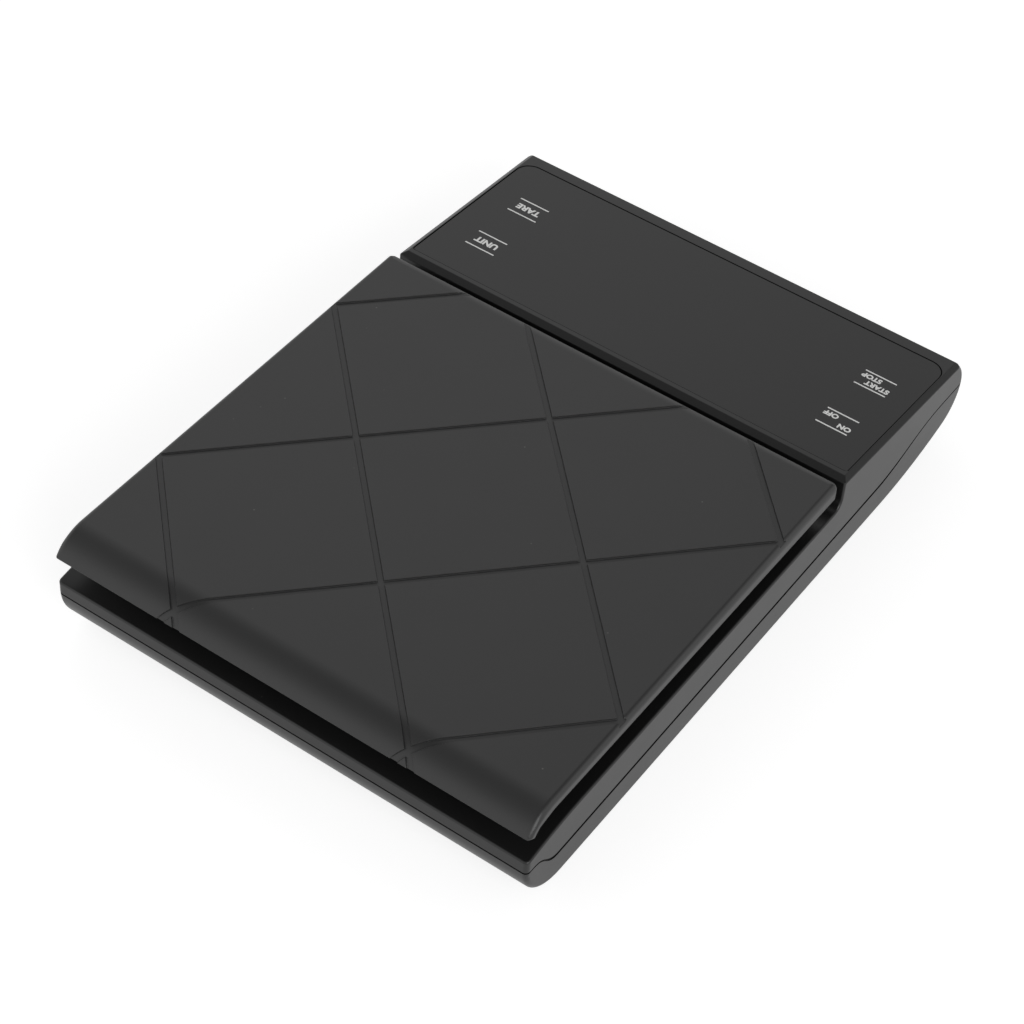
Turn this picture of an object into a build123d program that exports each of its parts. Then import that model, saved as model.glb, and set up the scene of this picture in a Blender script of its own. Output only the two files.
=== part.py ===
"""Digital gram scale with a timer: battery scale with a lift-off weighing platform.

Frame: millimetres, +Z up, +Y to the rear, the display and its touch keys at the front (-Y),
+X to the user's right. The origin is on the table under the middle of the scale.
"""

import os
from math import acos, atan2, cos, degrees, hypot, radians, sin, tan

from build123d import *

os.makedirs("parts", exist_ok=True)

# ---------------------------------------------------------------- overall size
overall_length = 190.0
overall_width = 130.0
overall_height = 31.5
foot_proud = 1.0  # the feet stand this far out of the underside
half_width = overall_width / 2
nose_y = -overall_length / 2
platform_rear_y = overall_length / 2 + 0.2  # before the tip is rounded
underside_z = foot_proud

# ---------------------------------------------------------------- casing
wall = 2.0
rear_y = platform_rear_y - 0.5  # rear face, just inside the platform's tip
deck_z = 20.2  # flat deck under the platform
deck_rear_z = 18.2  # the deck falls to this height at the rear face
deck_fall_length = 20.5
rear_round = 14.0  # underside curves up to the rear face
display_length = 61.2  # from the nose to the wall behind the display
junction_y = nose_y + display_length
junction_fillet = 3.0
nose_top_setback = 4.0
nose_top_z = 24.2
nose_z = 15.5  # height of the foremost point
nose_radius = 10.5
belly_angle = 17.0  # slope of the underside where it meets the nose
display_tilt = 4.8
bezel_drop = 0.9  # the display housing's top edges are bevelled down by this much
bezel_side_width = 1.35
bezel_rear_width = 1.9
rim_radius = 1.2  # rounding of the outer vertical corners and the bottom edge
deck_edge_radius = 0.55
housing_edge_radius = 0.4

# parting line between the two casings
parting_side_front_z = 10.9
parting_side_rear_z = 10.05
parting_front_z = 15.7
parting_rear_z = 14.7
front_curve_setback = 11.5
front_curve_length = 30.0
rear_curve_setback = 2.6
rear_curve_length = 9.7
reveal_width = 0.5  # at the front and the rear
reveal_side_width = 0.95
reveal_depth = 0.7
lip_height = 1.5
lip_thickness = 0.8
lip_clearance = 0.1

# ---------------------------------------------------------------- weighing platform
platform_thickness = 2.4
platform_front_gap = 3.4
platform_front_y = junction_y + platform_front_gap
platform_half_width = half_width
droop_radius = 10.8
droop_angle = 58.0
platform_front_corner = 1.5
platform_rear_corner = 0.9
platform_edge_radius = 1.2
tip_edge_radius = 0.5
groove_width = 1.5
groove_depth = 0.5
diamond_half_x = 32.0
diamond_half_y = 32.85
diamond_centre_y = 27.0
skirt_wall = 1.6  # the platform's sides and front hang down below its plate
skirt_front_depth = 4.7  # under the top face, at the front
skirt_rear_depth = 3.2  # where the droop begins
skirt_end_angle = 38.0  # the skirt runs out into the drooped edge here

# ---------------------------------------------------------------- window and electronics
window_side_margin = 1.7  # casing left beside the window
window_front_margin = 7.6
window_rear_margin = 3.3
window_half_width = half_width - window_side_margin
window_front_y = nose_y + window_front_margin
window_rear_y = junction_y - window_rear_margin
window_front_corner = 4.3
window_rear_corner = 0.8
window_thickness = 1.2
window_gap = 0.15  # all round, in its recess
window_sunk = 0.1  # top face below the bezel
window_chamfer = 0.15
tape_thickness = 0.15
tape_width = 3.0
ledge_width = 6.6
ledge_thickness = 1.4
board_depth = 8.0  # top of the board below the bezel
board_thickness = 1.6
board_side_margin = 2.5  # from the window's edge to the board's
board_end_margin = 5.0
board_screw_inset = 3.1
board_screw_end_inset = 4.0
board_post_radius = 2.5
key_inset = 11.7  # from the window's side edge to the middle of a key
key_front_inset = 17.0
key_rear_inset = 14.5
key_spring_radius = 4.0
key_spring_wire = 0.6
key_spring_turns = 4
module_width = 62.0
module_length = 21.0
diffuser_thickness = 0.6
module_wall = 1.0
module_gap = 0.3
digit_count = 6
board_screw_radius = 1.0
board_screw_grip = 4.6
board_screw_head_radius = 1.9
board_screw_head_height = 1.2
chip_height = 1.6
controller_size = 12.0
amplifier_length = 9.0
amplifier_width = 6.0
regulator_length = 5.0
regulator_width = 4.0
chip_spacing_x = 18.0
chip_spacing_v = 11.0
socket_length = 8.0
socket_width = 5.0
socket_height = 4.5
socket_end_inset = 5.0
buzzer_radius = 6.0
buzzer_height = 5.5
buzzer_inset = 22.5  # from the board's end to the buzzer's middle

# ---------------------------------------------------------------- weighing mechanism
cell_length = 70.0
cell_width = 12.0
cell_height = 9.0
cell_z = 5.0
cell_hole_radius = 3.5
cell_hole_x = 9.0
cell_slot_height = 3.0
flexure_gap = 0.3  # the bar is parted here, at its thin webs, so that the free end can move
cell_screw_x = (23.0, 31.0)
cell_screw_radius = 1.95
cell_screw_head_radius = 3.5
cell_screw_head_height = 1.8
cell_screw_grip = 6.5  # thread length inside the bar
cell_pad_top = 4.0
carrier_spacer_thickness = 1.0
carrier_screw_head_height = 1.2
spacer_length = 18.0
carrier_z = 15.6
carrier_thickness = 2.0
carrier_side_margin = 17.0  # from the platform's side edge to the carrier's
carrier_end_margin = 29.6
carrier_rail = 10.0
carrier_corner = 5.0
carrier_band = 20.0
post_side_inset = 6.0
post_end_inset = 5.0
post_radius = 4.25
post_hole_clearance = 2.2
pad_radius = 5.0
pad_thickness = 1.2
pad_peg_radius = 2.0
pad_peg_length = 4.0
ring_clearance = 0.4
ring_thickness = 1.4
ring_height = 3.6
weigh_travel = 0.4
stop_radius = 1.5
stop_boss_radius = 4.0
stop_boss_share = 0.75  # how much of the stop's length its boss holds

# ---------------------------------------------------------------- battery bay
battery_radius = 5.25
battery_length = 44.5
battery_pitch = 11.2
bay_carrier_gap = 3.45  # from the bay's inside to the carrier
bay_wall = 1.5
bay_half_x = 26.0
bay_top_z = 13.9
battery_z = 8.3
bay_side_clearance = 0.3
door_thickness = 1.6
door_ledge = 2.6
door_frame = 1.2
door_frame_height = 1.5
door_gap = 0.3
door_seat_gap = 0.2
contact_thickness = 0.4
contact_size = 9.0
battery_spring_wire = 0.7
battery_spring_radius = 3.2
battery_nub_radius = 1.9
battery_nub_length = 1.0
tongue_width = 7.0
tongue_x = 18.0
tongue_length = 2.5
tongue_lip = 0.85  # casing floor left under a tongue
tongue_thickness = 0.9
tongue_clearance = 0.3
latch_width = 12.0
latch_length = 7.0
latch_slit = 0.8
finger_notch_radius = 6.5
finger_notch_depth = 0.9
grip_count = 5
grip_pitch = 1.6
grip_depth = 0.35
grip_length = 8.0

# ---------------------------------------------------------------- fasteners and feet
casing_screw_inset = 7.8
casing_screw_front_inset = 34.0
casing_screw_rear_inset = 19.7
casing_screw_radius = 1.3
casing_screw_length = 9.0
casing_screw_head_radius = 2.6
casing_screw_head_height = 1.8
casing_screw_head_z = 5.0
tower_radius = 4.2
pillar_radius = 3.2
thread_clearance = 0.05
hole_clearance = 0.3
foot_inset = 12.5
foot_front_inset = 58.0
foot_rear_inset = 33.7
foot_radius = 5.5
foot_recess = 0.6
foot_clearance = 0.1
foot_edge_radius = 0.4
drive_length = 2.8
drive_width = 0.6
drive_depth = 0.8

# ---------------------------------------------------------------- leads
cell_lead_radius = 1.2
cell_lead_x = 33.0
cell_lead_turn = 12.5  # the lead leaves the cell by this much before it turns
cell_lead_end_x = -14.0
battery_lead_radius = 0.7
battery_lead_x = 39.5
battery_lead_pitch = 3.0
lead_bend = 3.0
contact_pin_radius = 0.6
contact_pin_length = 2.0
gauge_cover_length = 14.0
gauge_cover_width = 9.0
gauge_cover_thickness = 0.6

# ---------------------------------------------------------------- derived places
tilt_rise = tan(radians(display_tilt))
nose_top_y = nose_y + nose_top_setback
deck_fall_y = rear_y - deck_fall_length
deck_underside_z = deck_z - wall
inner_floor_z = underside_z + wall
platform_underside_z = overall_height - platform_thickness
platform_centre_y = (platform_front_y + platform_rear_y) / 2
window_centre_y = (window_front_y + window_rear_y) / 2
window_half_length = (window_rear_y - window_front_y) / 2 / cos(radians(display_tilt))
board_half_width = window_half_width - board_side_margin
board_half_length = window_half_length - board_end_margin
board_screw_x = board_half_width - board_screw_inset
board_screw_v = board_half_length - board_screw_end_inset
socket_v = board_half_length - socket_end_inset
buzzer_x = buzzer_inset - board_half_width
key_x = window_half_width - key_inset
key_front_y = window_front_y + key_front_inset
key_rear_y = window_rear_y - key_rear_inset
carrier_half_x = platform_half_width - carrier_side_margin
carrier_half_y = (platform_rear_y - platform_front_y) / 2 - carrier_end_margin
post_x = carrier_half_x - post_side_inset
post_y = carrier_half_y - post_end_inset
casing_screw_x = half_width - casing_screw_inset
casing_screw_y = (
    nose_y + casing_screw_front_inset,
    (nose_y + casing_screw_front_inset + rear_y - casing_screw_rear_inset) / 2 + foot_radius,
    rear_y - casing_screw_rear_inset,
)
foot_x = half_width - foot_inset
foot_front_y = nose_y + foot_front_inset
foot_rear_y = rear_y - foot_rear_inset
cell_top_z = cell_z + cell_height
spacer_x = cell_length / 2 - spacer_length / 2
post_top_z = platform_underside_z - pad_thickness
window_seat_depth = window_sunk + window_thickness + tape_thickness
module_height = board_depth - window_sunk - window_thickness - module_gap - diffuser_thickness
pillar_foot_z = casing_screw_head_z + wall
screw_reach = casing_screw_length - wall
cell_screw_seat_z = inner_floor_z
stop_top_z = cell_z - weigh_travel - thread_clearance
stop_boss_height = (stop_top_z - inner_floor_z) * stop_boss_share
carrier_hub_z = cell_top_z + carrier_spacer_thickness
carrier_top_z = carrier_z + carrier_thickness
carrier_screw_seat_z = carrier_top_z - carrier_screw_head_height - thread_clearance
bay_half_y = battery_pitch / 2 + battery_radius + bay_side_clearance
bay_centre_y = platform_centre_y - carrier_half_y - bay_carrier_gap - bay_half_y
door_seat_z = underside_z + door_thickness + door_seat_gap
hinge_y = bay_centre_y - bay_half_y - door_ledge
tongue_sweep = hypot(tongue_length, tongue_lip + tongue_clearance + tongue_thickness) + tongue_clearance
droop_start_y = platform_rear_y - droop_radius * sin(radians(droop_angle))
battery_places = (bay_centre_y - battery_pitch / 2, bay_centre_y + battery_pitch / 2)
beyond = 5.0  # cutting shapes run this far past what they cut


def slope_z(y):
    """Height of the display housing's sloping top."""
    return nose_top_z + (y - nose_top_y) * tilt_rise


display_plane = Plane(
    origin=(0, window_centre_y, slope_z(window_centre_y)),
    x_dir=(1, 0, 0),
    z_dir=(0, -sin(radians(display_tilt)), cos(radians(display_tilt))),
)


def along_display(y):
    """Distance up the display slope, from the window's middle, of a place given by its y."""
    return (y - window_centre_y) / cos(radians(display_tilt))


def casing_outline(inset):
    """Side outline of the closed casing, with every wall moved in by inset."""
    nose_centre = (nose_y + nose_radius, nose_z)
    to_top = (nose_top_y - nose_centre[0], nose_top_z - nose_centre[1])
    touch = atan2(to_top[1], to_top[0]) + acos(nose_radius / hypot(*to_top))
    lean_end = (nose_centre[0] + nose_radius * cos(touch), nose_centre[1] + nose_radius * sin(touch))
    belly = radians(belly_angle)
    belly_front = (nose_centre[0] - nose_radius * sin(belly), nose_z - nose_radius * cos(belly))
    belly_radius = (belly_front[1] - underside_z) / (1 - cos(belly))
    belly_end = (belly_front[0] + belly_radius * sin(belly), underside_z)
    rear_low = (rear_y - rear_round, underside_z)
    rear_high = (rear_y, underside_z + rear_round)
    deck_rear = (rear_y, deck_rear_z)
    deck_fall = (deck_fall_y, deck_z)
    deck_front = (junction_y + junction_fillet, deck_z)
    junction_low = (junction_y, deck_z + junction_fillet)
    junction_top = (junction_y, slope_z(junction_y) - bezel_drop)
    ridge = (junction_y - bezel_rear_width, slope_z(junction_y - bezel_rear_width))
    nose_top = (nose_top_y, nose_top_z)
    with BuildSketch() as outline:
        with BuildLine():
            Line(belly_end, rear_low)
            TangentArc(rear_low, rear_high, tangent=(1, 0))
            Line(rear_high, deck_rear)
            TangentArc(deck_fall, deck_rear, tangent=(1, 0))
            Line(deck_fall, deck_front)
            TangentArc(deck_front, junction_low, tangent=(-1, 0))
            Line(junction_low, junction_top)
            Line(junction_top, ridge)
            Line(ridge, nose_top)
            Line(nose_top, lean_end)
            ThreePointArc(lean_end, (nose_y, nose_z), belly_front)
            TangentArc(belly_front, belly_end, tangent=(cos(belly), -sin(belly)))
        make_face()
        if inset:
            offset(amount=-inset, kind=Kind.INTERSECTION)
    return outline.sketch


def parting_edge(shift, side_shift):
    """Side view of the parting line, moved by shift at its ends and by side_shift along the sides."""
    front_curve_start = nose_y + front_curve_setback
    front_curve_end = front_curve_start + front_curve_length
    rear_curve_end = rear_y - rear_curve_setback
    rear_curve_start = rear_curve_end - rear_curve_length
    front_start = (front_curve_start, parting_front_z + shift)
    side_front = (front_curve_end, parting_side_front_z + side_shift)
    side_rear = (rear_curve_start, parting_side_rear_z + side_shift)
    rear_end = (rear_curve_end, parting_rear_z + shift)
    along_side = (side_rear[0] - side_front[0], side_rear[1] - side_front[1])
    with BuildLine() as line:
        Line((nose_y - beyond, parting_front_z + shift), front_start)
        Spline(front_start, side_front, tangents=((1, 0), along_side))
        Line(side_front, side_rear)
        Spline(side_rear, rear_end, tangents=(along_side, (1, 0)))
        Line(rear_end, (platform_rear_y + beyond, parting_rear_z + shift))
    return line.line


def parting_region(low, high=None, side_low=None):
    """Side view of what lies under the parting line moved by low, or between low and high."""
    low_edge = parting_edge(low, low if side_low is None else side_low)
    top = low_edge if high is None else parting_edge(high, high)
    bottom_front = ((top @ 0).X, -beyond) if high is None else low_edge @ 0
    bottom_rear = ((top @ 1).X, -beyond) if high is None else low_edge @ 1
    with BuildSketch() as region:
        with BuildLine():
            add(top)
            Line(top @ 0, bottom_front)
            if high is None:
                Line(bottom_front, bottom_rear)
            else:
                add(low_edge)
            Line(bottom_rear, top @ 1)
        make_face()
    return region.sketch


def side_edges(part, half):
    """Edges that lie on the two side faces of a casing solid."""
    edges = part.edges()
    left = edges.filter_by_position(Axis.X, -half - 0.01, -half + 0.01)
    return left + edges.filter_by_position(Axis.X, half - 0.01, half + 0.01)


def casing_core(inset):
    """Solid casing with every outer wall moved in by inset and its upright corners rounded."""
    outline = casing_outline(inset)
    with BuildPart() as core:
        with BuildSketch(Plane.YZ):
            add(outline)
        extrude(amount=half_width - inset, both=True)
        if inset < rim_radius:
            rim = side_edges(core, half_width - inset).filter_by(
                lambda edge: edge.center().Z < deck_rear_z - inset or edge.center().Y < nose_top_y + inset
            )
            fillet(rim, rim_radius - inset)
    return core.part


def bevel_plane(side):
    """Plane of the bevel along one side of the display housing."""
    top = display_plane.origin + display_plane.x_dir * side * (half_width - bezel_side_width)
    outward = display_plane.x_dir * side * bezel_drop + display_plane.z_dir * bezel_side_width
    return Plane(origin=top, x_dir=display_plane.y_dir, z_dir=outward)


def window_outline(grow):
    """Outline of the display window, larger by grow all round."""
    with BuildSketch() as outline:
        Rectangle(2 * (window_half_width + grow), 2 * (window_half_length + grow))
        corners = outline.vertices().group_by(Axis.Y)
        fillet(corners[0], window_front_corner + grow)
        fillet(outline.vertices().group_by(Axis.Y)[-1], window_rear_corner + grow)
    return outline.sketch


cavity_outline = casing_outline(wall)
window_face = window_outline(0)
window_recess = window_outline(window_gap)
reveal_core = casing_core(reveal_depth)
lip_core = casing_core(wall - lip_thickness)
lip_seat_core = casing_core(wall - lip_thickness - lip_clearance)
wall_core = casing_core(wall / 2)
under_parting = parting_region(0)
reveal_band = parting_region(-reveal_width, 0, -reveal_side_width)
lip_band = parting_region(-lip_height, 0)
lip_seat_band = parting_region(-lip_height - lip_clearance, 0)
casing_screw_places = [(x, y) for y in casing_screw_y for x in (-casing_screw_x, casing_screw_x)]
foot_places = [(x, y) for y in (foot_front_y, foot_rear_y) for x in (-foot_x, foot_x)]
post_places = [(x, platform_centre_y + y) for y in (-post_y, post_y) for x in (-post_x, post_x)]
cell_screw_places = [(-x, platform_centre_y) for x in cell_screw_x]
carrier_screw_places = [(x, platform_centre_y) for x in cell_screw_x]
key_places = [(x, along_display(y)) for y in (key_front_y, key_rear_y) for x in (-key_x, key_x)]
socket_foot = (
    display_plane.origin
    + display_plane.y_dir * socket_v
    - display_plane.z_dir * (board_depth + board_thickness + socket_height)
)
board_pillar_v = along_display(casing_screw_y[0]) - (board_depth + board_thickness / 2) * tilt_rise
board_screw_places = [
    (x, v) for v in (-board_screw_v, board_screw_v) for x in (-board_screw_x, board_screw_x)
]

# ---------------------------------------------------------------- casing envelope
whole_casing = casing_core(0)
with BuildPart() as casing_envelope:
    add(whole_casing)
    split(bisect_by=bevel_plane(1), keep=Keep.BOTTOM)
    split(bisect_by=bevel_plane(-1), keep=Keep.BOTTOM)
    deck_edges = casing_envelope.edges().filter_by(
        lambda edge: edge.bounding_box().min.Z > deck_rear_z - 0.01
        and edge.bounding_box().max.Z < slope_z(junction_y) - bezel_drop + 0.01
        and edge.center().Y > junction_y - 0.01
        and not (edge.length > half_width and edge.center().Y < rear_y - 0.01)
    )
    fillet(deck_edges, deck_edge_radius)
    housing_edges = casing_envelope.edges().filter_by(
        lambda edge: edge.bounding_box().min.Z > deck_z + junction_fillet - 1
        and not (edge.length < nose_top_setback + junction_fillet and abs((edge % 0.5).Z) > 0.9)
    )
    fillet(housing_edges, housing_edge_radius)

with BuildPart() as casing_cavity:
    with BuildSketch(Plane.YZ):
        add(cavity_outline)
    extrude(amount=half_width - wall, both=True)

with BuildPart() as reveal_groove:
    with BuildSketch(Plane.YZ):
        add(reveal_band)
    extrude(amount=half_width + beyond, both=True)
    add(reveal_core, mode=Mode.SUBTRACT)

with BuildPart() as casing_lip:
    add(lip_core)
    add(casing_cavity.part, mode=Mode.SUBTRACT)
    with BuildSketch(Plane.YZ):
        add(lip_band)
    extrude(amount=half_width, both=True, mode=Mode.INTERSECT)

with BuildPart() as lip_seat:
    with BuildSketch(Plane.YZ):
        add(lip_seat_band)
    extrude(amount=half_width, both=True)
    add(lip_seat_core, mode=Mode.INTERSECT)

with BuildPart() as casing_pillars:
    with BuildSketch(Plane.XY.offset(pillar_foot_z)):
        with Locations(*casing_screw_places):
            Circle(pillar_radius)
    extrude(amount=overall_height)
    add(wall_core, mode=Mode.INTERSECT)

with BuildPart() as window_ledge:
    with BuildSketch(display_plane.offset(-window_seat_depth)):
        Rectangle(overall_width, 2 * (window_half_length + window_gap + wall))
        Rectangle(
            2 * (window_half_width - ledge_width), 2 * (window_half_length - tape_width), mode=Mode.SUBTRACT
        )
    extrude(amount=-ledge_thickness)
    with BuildSketch(display_plane.offset(-window_seat_depth)):
        with Locations(*board_screw_places):
            Circle(board_post_radius)
    extrude(amount=window_seat_depth - board_depth)
    add(wall_core, mode=Mode.INTERSECT)
    with BuildSketch(display_plane.offset(-board_depth)):
        with Locations(*board_screw_places):
            Circle(board_screw_radius + thread_clearance)
    extrude(amount=board_screw_grip + thread_clearance, mode=Mode.SUBTRACT)

# ---------------------------------------------------------------- upper casing
with BuildPart() as upper_casing:
    add(casing_envelope.part)
    add(casing_cavity.part, mode=Mode.SUBTRACT)
    with BuildSketch(Plane.YZ):
        add(under_parting)
    extrude(amount=half_width + beyond, both=True, mode=Mode.SUBTRACT)
    add(casing_lip.part)
    with BuildSketch(display_plane):
        Rectangle(2 * (window_half_width - ledge_width), 2 * (window_half_length - tape_width))
    extrude(amount=-2 * wall, mode=Mode.SUBTRACT)
    add(window_ledge.part)
    add(casing_pillars.part)
    with BuildSketch(display_plane.offset(beyond)):
        add(window_recess)
    extrude(amount=-(beyond + window_seat_depth), mode=Mode.SUBTRACT)
    with BuildSketch(Plane.XY.offset(pillar_foot_z)):
        with Locations(*casing_screw_places):
            Circle(casing_screw_radius + thread_clearance)
    extrude(amount=screw_reach + thread_clearance, mode=Mode.SUBTRACT)
    with BuildSketch(Plane.XY.offset(deck_underside_z - beyond)):
        with Locations(*post_places):
            Circle(post_radius + post_hole_clearance)
    extrude(amount=wall + 2 * beyond, mode=Mode.SUBTRACT)
upper_casing.part.label = "upper_casing"
export_step(upper_casing.part, "parts/upper_casing.step")

# ---------------------------------------------------------------- lower casing
with BuildPart() as lower_casing:
    with BuildSketch(Plane.YZ):
        add(under_parting)
    extrude(amount=half_width, both=True)
    add(whole_casing, mode=Mode.INTERSECT)
    add(casing_cavity.part, mode=Mode.SUBTRACT)
    add(reveal_groove.part, mode=Mode.SUBTRACT)
    add(lip_seat.part, mode=Mode.SUBTRACT)
    # screw towers, rising from the floor to the upper casing's pillars
    with BuildSketch(Plane.XY.offset(inner_floor_z)):
        with Locations(*casing_screw_places):
            Circle(tower_radius)
    extrude(amount=pillar_foot_z - inner_floor_z)
    with BuildSketch(Plane.XY):
        with Locations(*casing_screw_places):
            Circle(casing_screw_head_radius + hole_clearance)
    extrude(amount=casing_screw_head_z, mode=Mode.SUBTRACT)
    with BuildSketch(Plane.XY):
        with Locations(*casing_screw_places):
            Circle(casing_screw_radius + hole_clearance)
    extrude(amount=pillar_foot_z + beyond, mode=Mode.SUBTRACT)
    # pad under the load cell's fixed end, with the screw seats
    with BuildSketch(Plane.XY.offset(inner_floor_z)):
        with Locations((-spacer_x, platform_centre_y)):
            Rectangle(spacer_length + 2 * wall, cell_width + 2 * wall)
    extrude(amount=cell_pad_top - inner_floor_z)
    with BuildSketch(Plane.XY):
        with Locations(*cell_screw_places):
            Circle(cell_screw_head_radius + hole_clearance)
    extrude(amount=cell_screw_seat_z, mode=Mode.SUBTRACT)
    with BuildSketch(Plane.XY):
        with Locations(*cell_screw_places):
            Circle(cell_screw_radius + hole_clearance)
    extrude(amount=cell_pad_top + beyond, mode=Mode.SUBTRACT)
    # boss of the overload stop
    with BuildSketch(Plane.XY.offset(inner_floor_z)):
        with Locations((spacer_x, platform_centre_y)):
            Circle(stop_boss_radius)
    extrude(amount=stop_boss_height)
    with BuildSketch(Plane.XY):
        with Locations((spacer_x, platform_centre_y)):
            Circle(stop_radius + thread_clearance)
    extrude(amount=inner_floor_z + stop_boss_height + beyond, mode=Mode.SUBTRACT)
    # seats of the feet
    with BuildSketch(Plane.XY):
        with Locations(*foot_places):
            Circle(foot_radius + foot_clearance)
    extrude(amount=underside_z + foot_recess, mode=Mode.SUBTRACT)
    # battery bay, open below, with the frame and ledge that the door closes on
    with BuildSketch(Plane.XY.offset(underside_z)):
        with Locations((0, bay_centre_y)):
            Rectangle(2 * (bay_half_x + bay_wall), 2 * (bay_half_y + bay_wall))
    extrude(amount=bay_top_z + bay_wall - underside_z)
    with BuildSketch(Plane.XY.offset(underside_z)):
        with Locations((0, bay_centre_y)):
            Rectangle(
                2 * (bay_half_x + door_ledge + door_frame), 2 * (bay_half_y + door_ledge + door_frame)
            )
    extrude(amount=door_seat_z + door_frame_height - underside_z)
    with BuildSketch(Plane.XY):
        with Locations((0, bay_centre_y)):
            Rectangle(2 * (bay_half_x + door_ledge), 2 * (bay_half_y + door_ledge))
    extrude(amount=door_seat_z, mode=Mode.SUBTRACT)
    with BuildSketch(Plane.XY):
        with Locations((0, bay_centre_y)):
            Rectangle(2 * bay_half_x, 2 * bay_half_y)
    extrude(amount=bay_top_z, mode=Mode.SUBTRACT)
    # slots that the door's tongues turn in
    with BuildSketch(Plane.XY.offset(underside_z + tongue_lip)):
        with Locations((-tongue_x, hinge_y), (tongue_x, hinge_y)):
            Rectangle(tongue_width + 2 * tongue_clearance, 2 * tongue_sweep)
    extrude(amount=tongue_sweep, mode=Mode.SUBTRACT)
    # finger notch at the latch
    with BuildSketch(Plane.XY):
        with Locations((0, bay_centre_y + bay_half_y + door_ledge)):
            Circle(finger_notch_radius)
    extrude(amount=underside_z + finger_notch_depth, mode=Mode.SUBTRACT)
    # holes for the contact pins, in the bay's end wall
    with BuildSketch(Plane.YZ.offset(-bay_half_x - bay_wall - beyond)):
        with Locations(*[(y, battery_z) for y in battery_places]):
            Circle(contact_pin_radius + thread_clearance)
    extrude(amount=bay_wall + beyond + thread_clearance, mode=Mode.SUBTRACT)
lower_casing.part.label = "lower_casing"
export_step(lower_casing.part, "parts/lower_casing.step")

# ---------------------------------------------------------------- display window and its tape
with BuildPart() as display_window:
    with BuildSketch(display_plane.offset(-window_sunk - window_thickness)):
        add(window_face)
    extrude(amount=window_thickness)
    chamfer(display_window.faces().sort_by(Axis.Z)[-1].edges(), window_chamfer)
display_window.part.label = "display_window"
export_step(display_window.part, "parts/display_window.step")

with BuildPart() as window_tape:
    with BuildSketch(display_plane.offset(-window_seat_depth)):
        add(window_face)
        Rectangle(
            2 * (window_half_width - ledge_width), 2 * (window_half_length - tape_width), mode=Mode.SUBTRACT
        )
    extrude(amount=tape_thickness)
window_tape.part.label = "window_tape"
export_step(window_tape.part, "parts/window_tape.step")

# ---------------------------------------------------------------- main board and what it carries
with BuildPart() as main_board:
    with BuildSketch(display_plane.offset(-board_depth)):
        Rectangle(2 * board_half_width, 2 * board_half_length)
        with Locations(*board_screw_places):
            Circle(board_screw_radius + hole_clearance, mode=Mode.SUBTRACT)
        with Locations((-casing_screw_x, board_pillar_v), (casing_screw_x, board_pillar_v)):
            Circle(pillar_radius + 2 * hole_clearance, mode=Mode.SUBTRACT)
    extrude(amount=-board_thickness)
main_board.part.label = "main_board"
export_step(main_board.part, "parts/main_board.step")

with BuildPart() as board_screws:
    with BuildSketch(display_plane.offset(-board_depth - board_thickness)):
        with Locations(*board_screw_places):
            Circle(board_screw_head_radius)
    extrude(amount=-board_screw_head_height)
    with BuildSketch(display_plane.offset(-board_depth - board_thickness)):
        with Locations(*board_screw_places):
            Circle(board_screw_radius)
    extrude(amount=board_thickness + board_screw_grip)
board_screws.part.label = "board_screws"
export_step(board_screws.part, "parts/board_screws.step")

digit_pitch = (module_width - module_wall) / digit_count
with BuildPart() as display_module:
    with BuildSketch(display_plane.offset(-board_depth)):
        Rectangle(module_width, module_length)
    extrude(amount=module_height)
    with BuildSketch(display_plane.offset(-board_depth + module_height)):
        with GridLocations(digit_pitch, 1, digit_count, 1):
            Rectangle(digit_pitch - module_wall, module_length - 2 * module_wall)
    extrude(amount=module_wall - module_height, mode=Mode.SUBTRACT)
display_module.part.label = "display_module"
export_step(display_module.part, "parts/display_module.step")

with BuildPart() as display_diffuser:
    with BuildSketch(display_plane.offset(-board_depth + module_height)):
        Rectangle(module_width, module_length)
    extrude(amount=diffuser_thickness)
display_diffuser.part.label = "display_diffuser"
export_step(display_diffuser.part, "parts/display_diffuser.step")

# conductive springs that carry the touch of each key down to the board
key_spring_height = board_depth - window_sunk - window_thickness
key_spring_rise = key_spring_height - key_spring_wire
with BuildPart() as key_spring:
    with BuildLine():
        key_coil = Helix(key_spring_rise / key_spring_turns, key_spring_rise, key_spring_radius)
    with BuildSketch(Plane(origin=key_coil @ 0, z_dir=key_coil % 0)):
        Circle(key_spring_wire / 2)
    sweep(path=key_coil, is_frenet=True)
key_spring_plane = display_plane.offset(key_spring_wire / 2 - board_depth)
with BuildPart() as key_springs:
    with Locations(*[key_spring_plane * Location((x, v, 0)) for x, v in key_places]):
        add(key_spring.part)
key_springs.part.label = "key_springs"
export_step(key_springs.part, "parts/key_springs.step")

with BuildPart() as board_chips:
    with BuildSketch(display_plane.offset(-board_depth - board_thickness)):
        Rectangle(controller_size, controller_size)
        with Locations((chip_spacing_x, 0)):
            Rectangle(amplifier_length, amplifier_width)
        with Locations((chip_spacing_x, -chip_spacing_v)):
            Rectangle(regulator_length, regulator_width)
    extrude(amount=-chip_height)
board_chips.part.label = "board_chips"
export_step(board_chips.part, "parts/board_chips.step")

with BuildPart() as buzzer:
    with BuildSketch(display_plane.offset(-board_depth - board_thickness)):
        with Locations((buzzer_x, 0)):
            Circle(buzzer_radius)
    extrude(amount=-buzzer_height)
    with BuildSketch(display_plane.offset(-board_depth - board_thickness - buzzer_height)):
        with Locations((buzzer_x, 0)):
            Circle(buzzer_radius / 5)
    extrude(amount=buzzer_height / 3, mode=Mode.SUBTRACT)
buzzer.part.label = "buzzer"
export_step(buzzer.part, "parts/buzzer.step")

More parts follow.
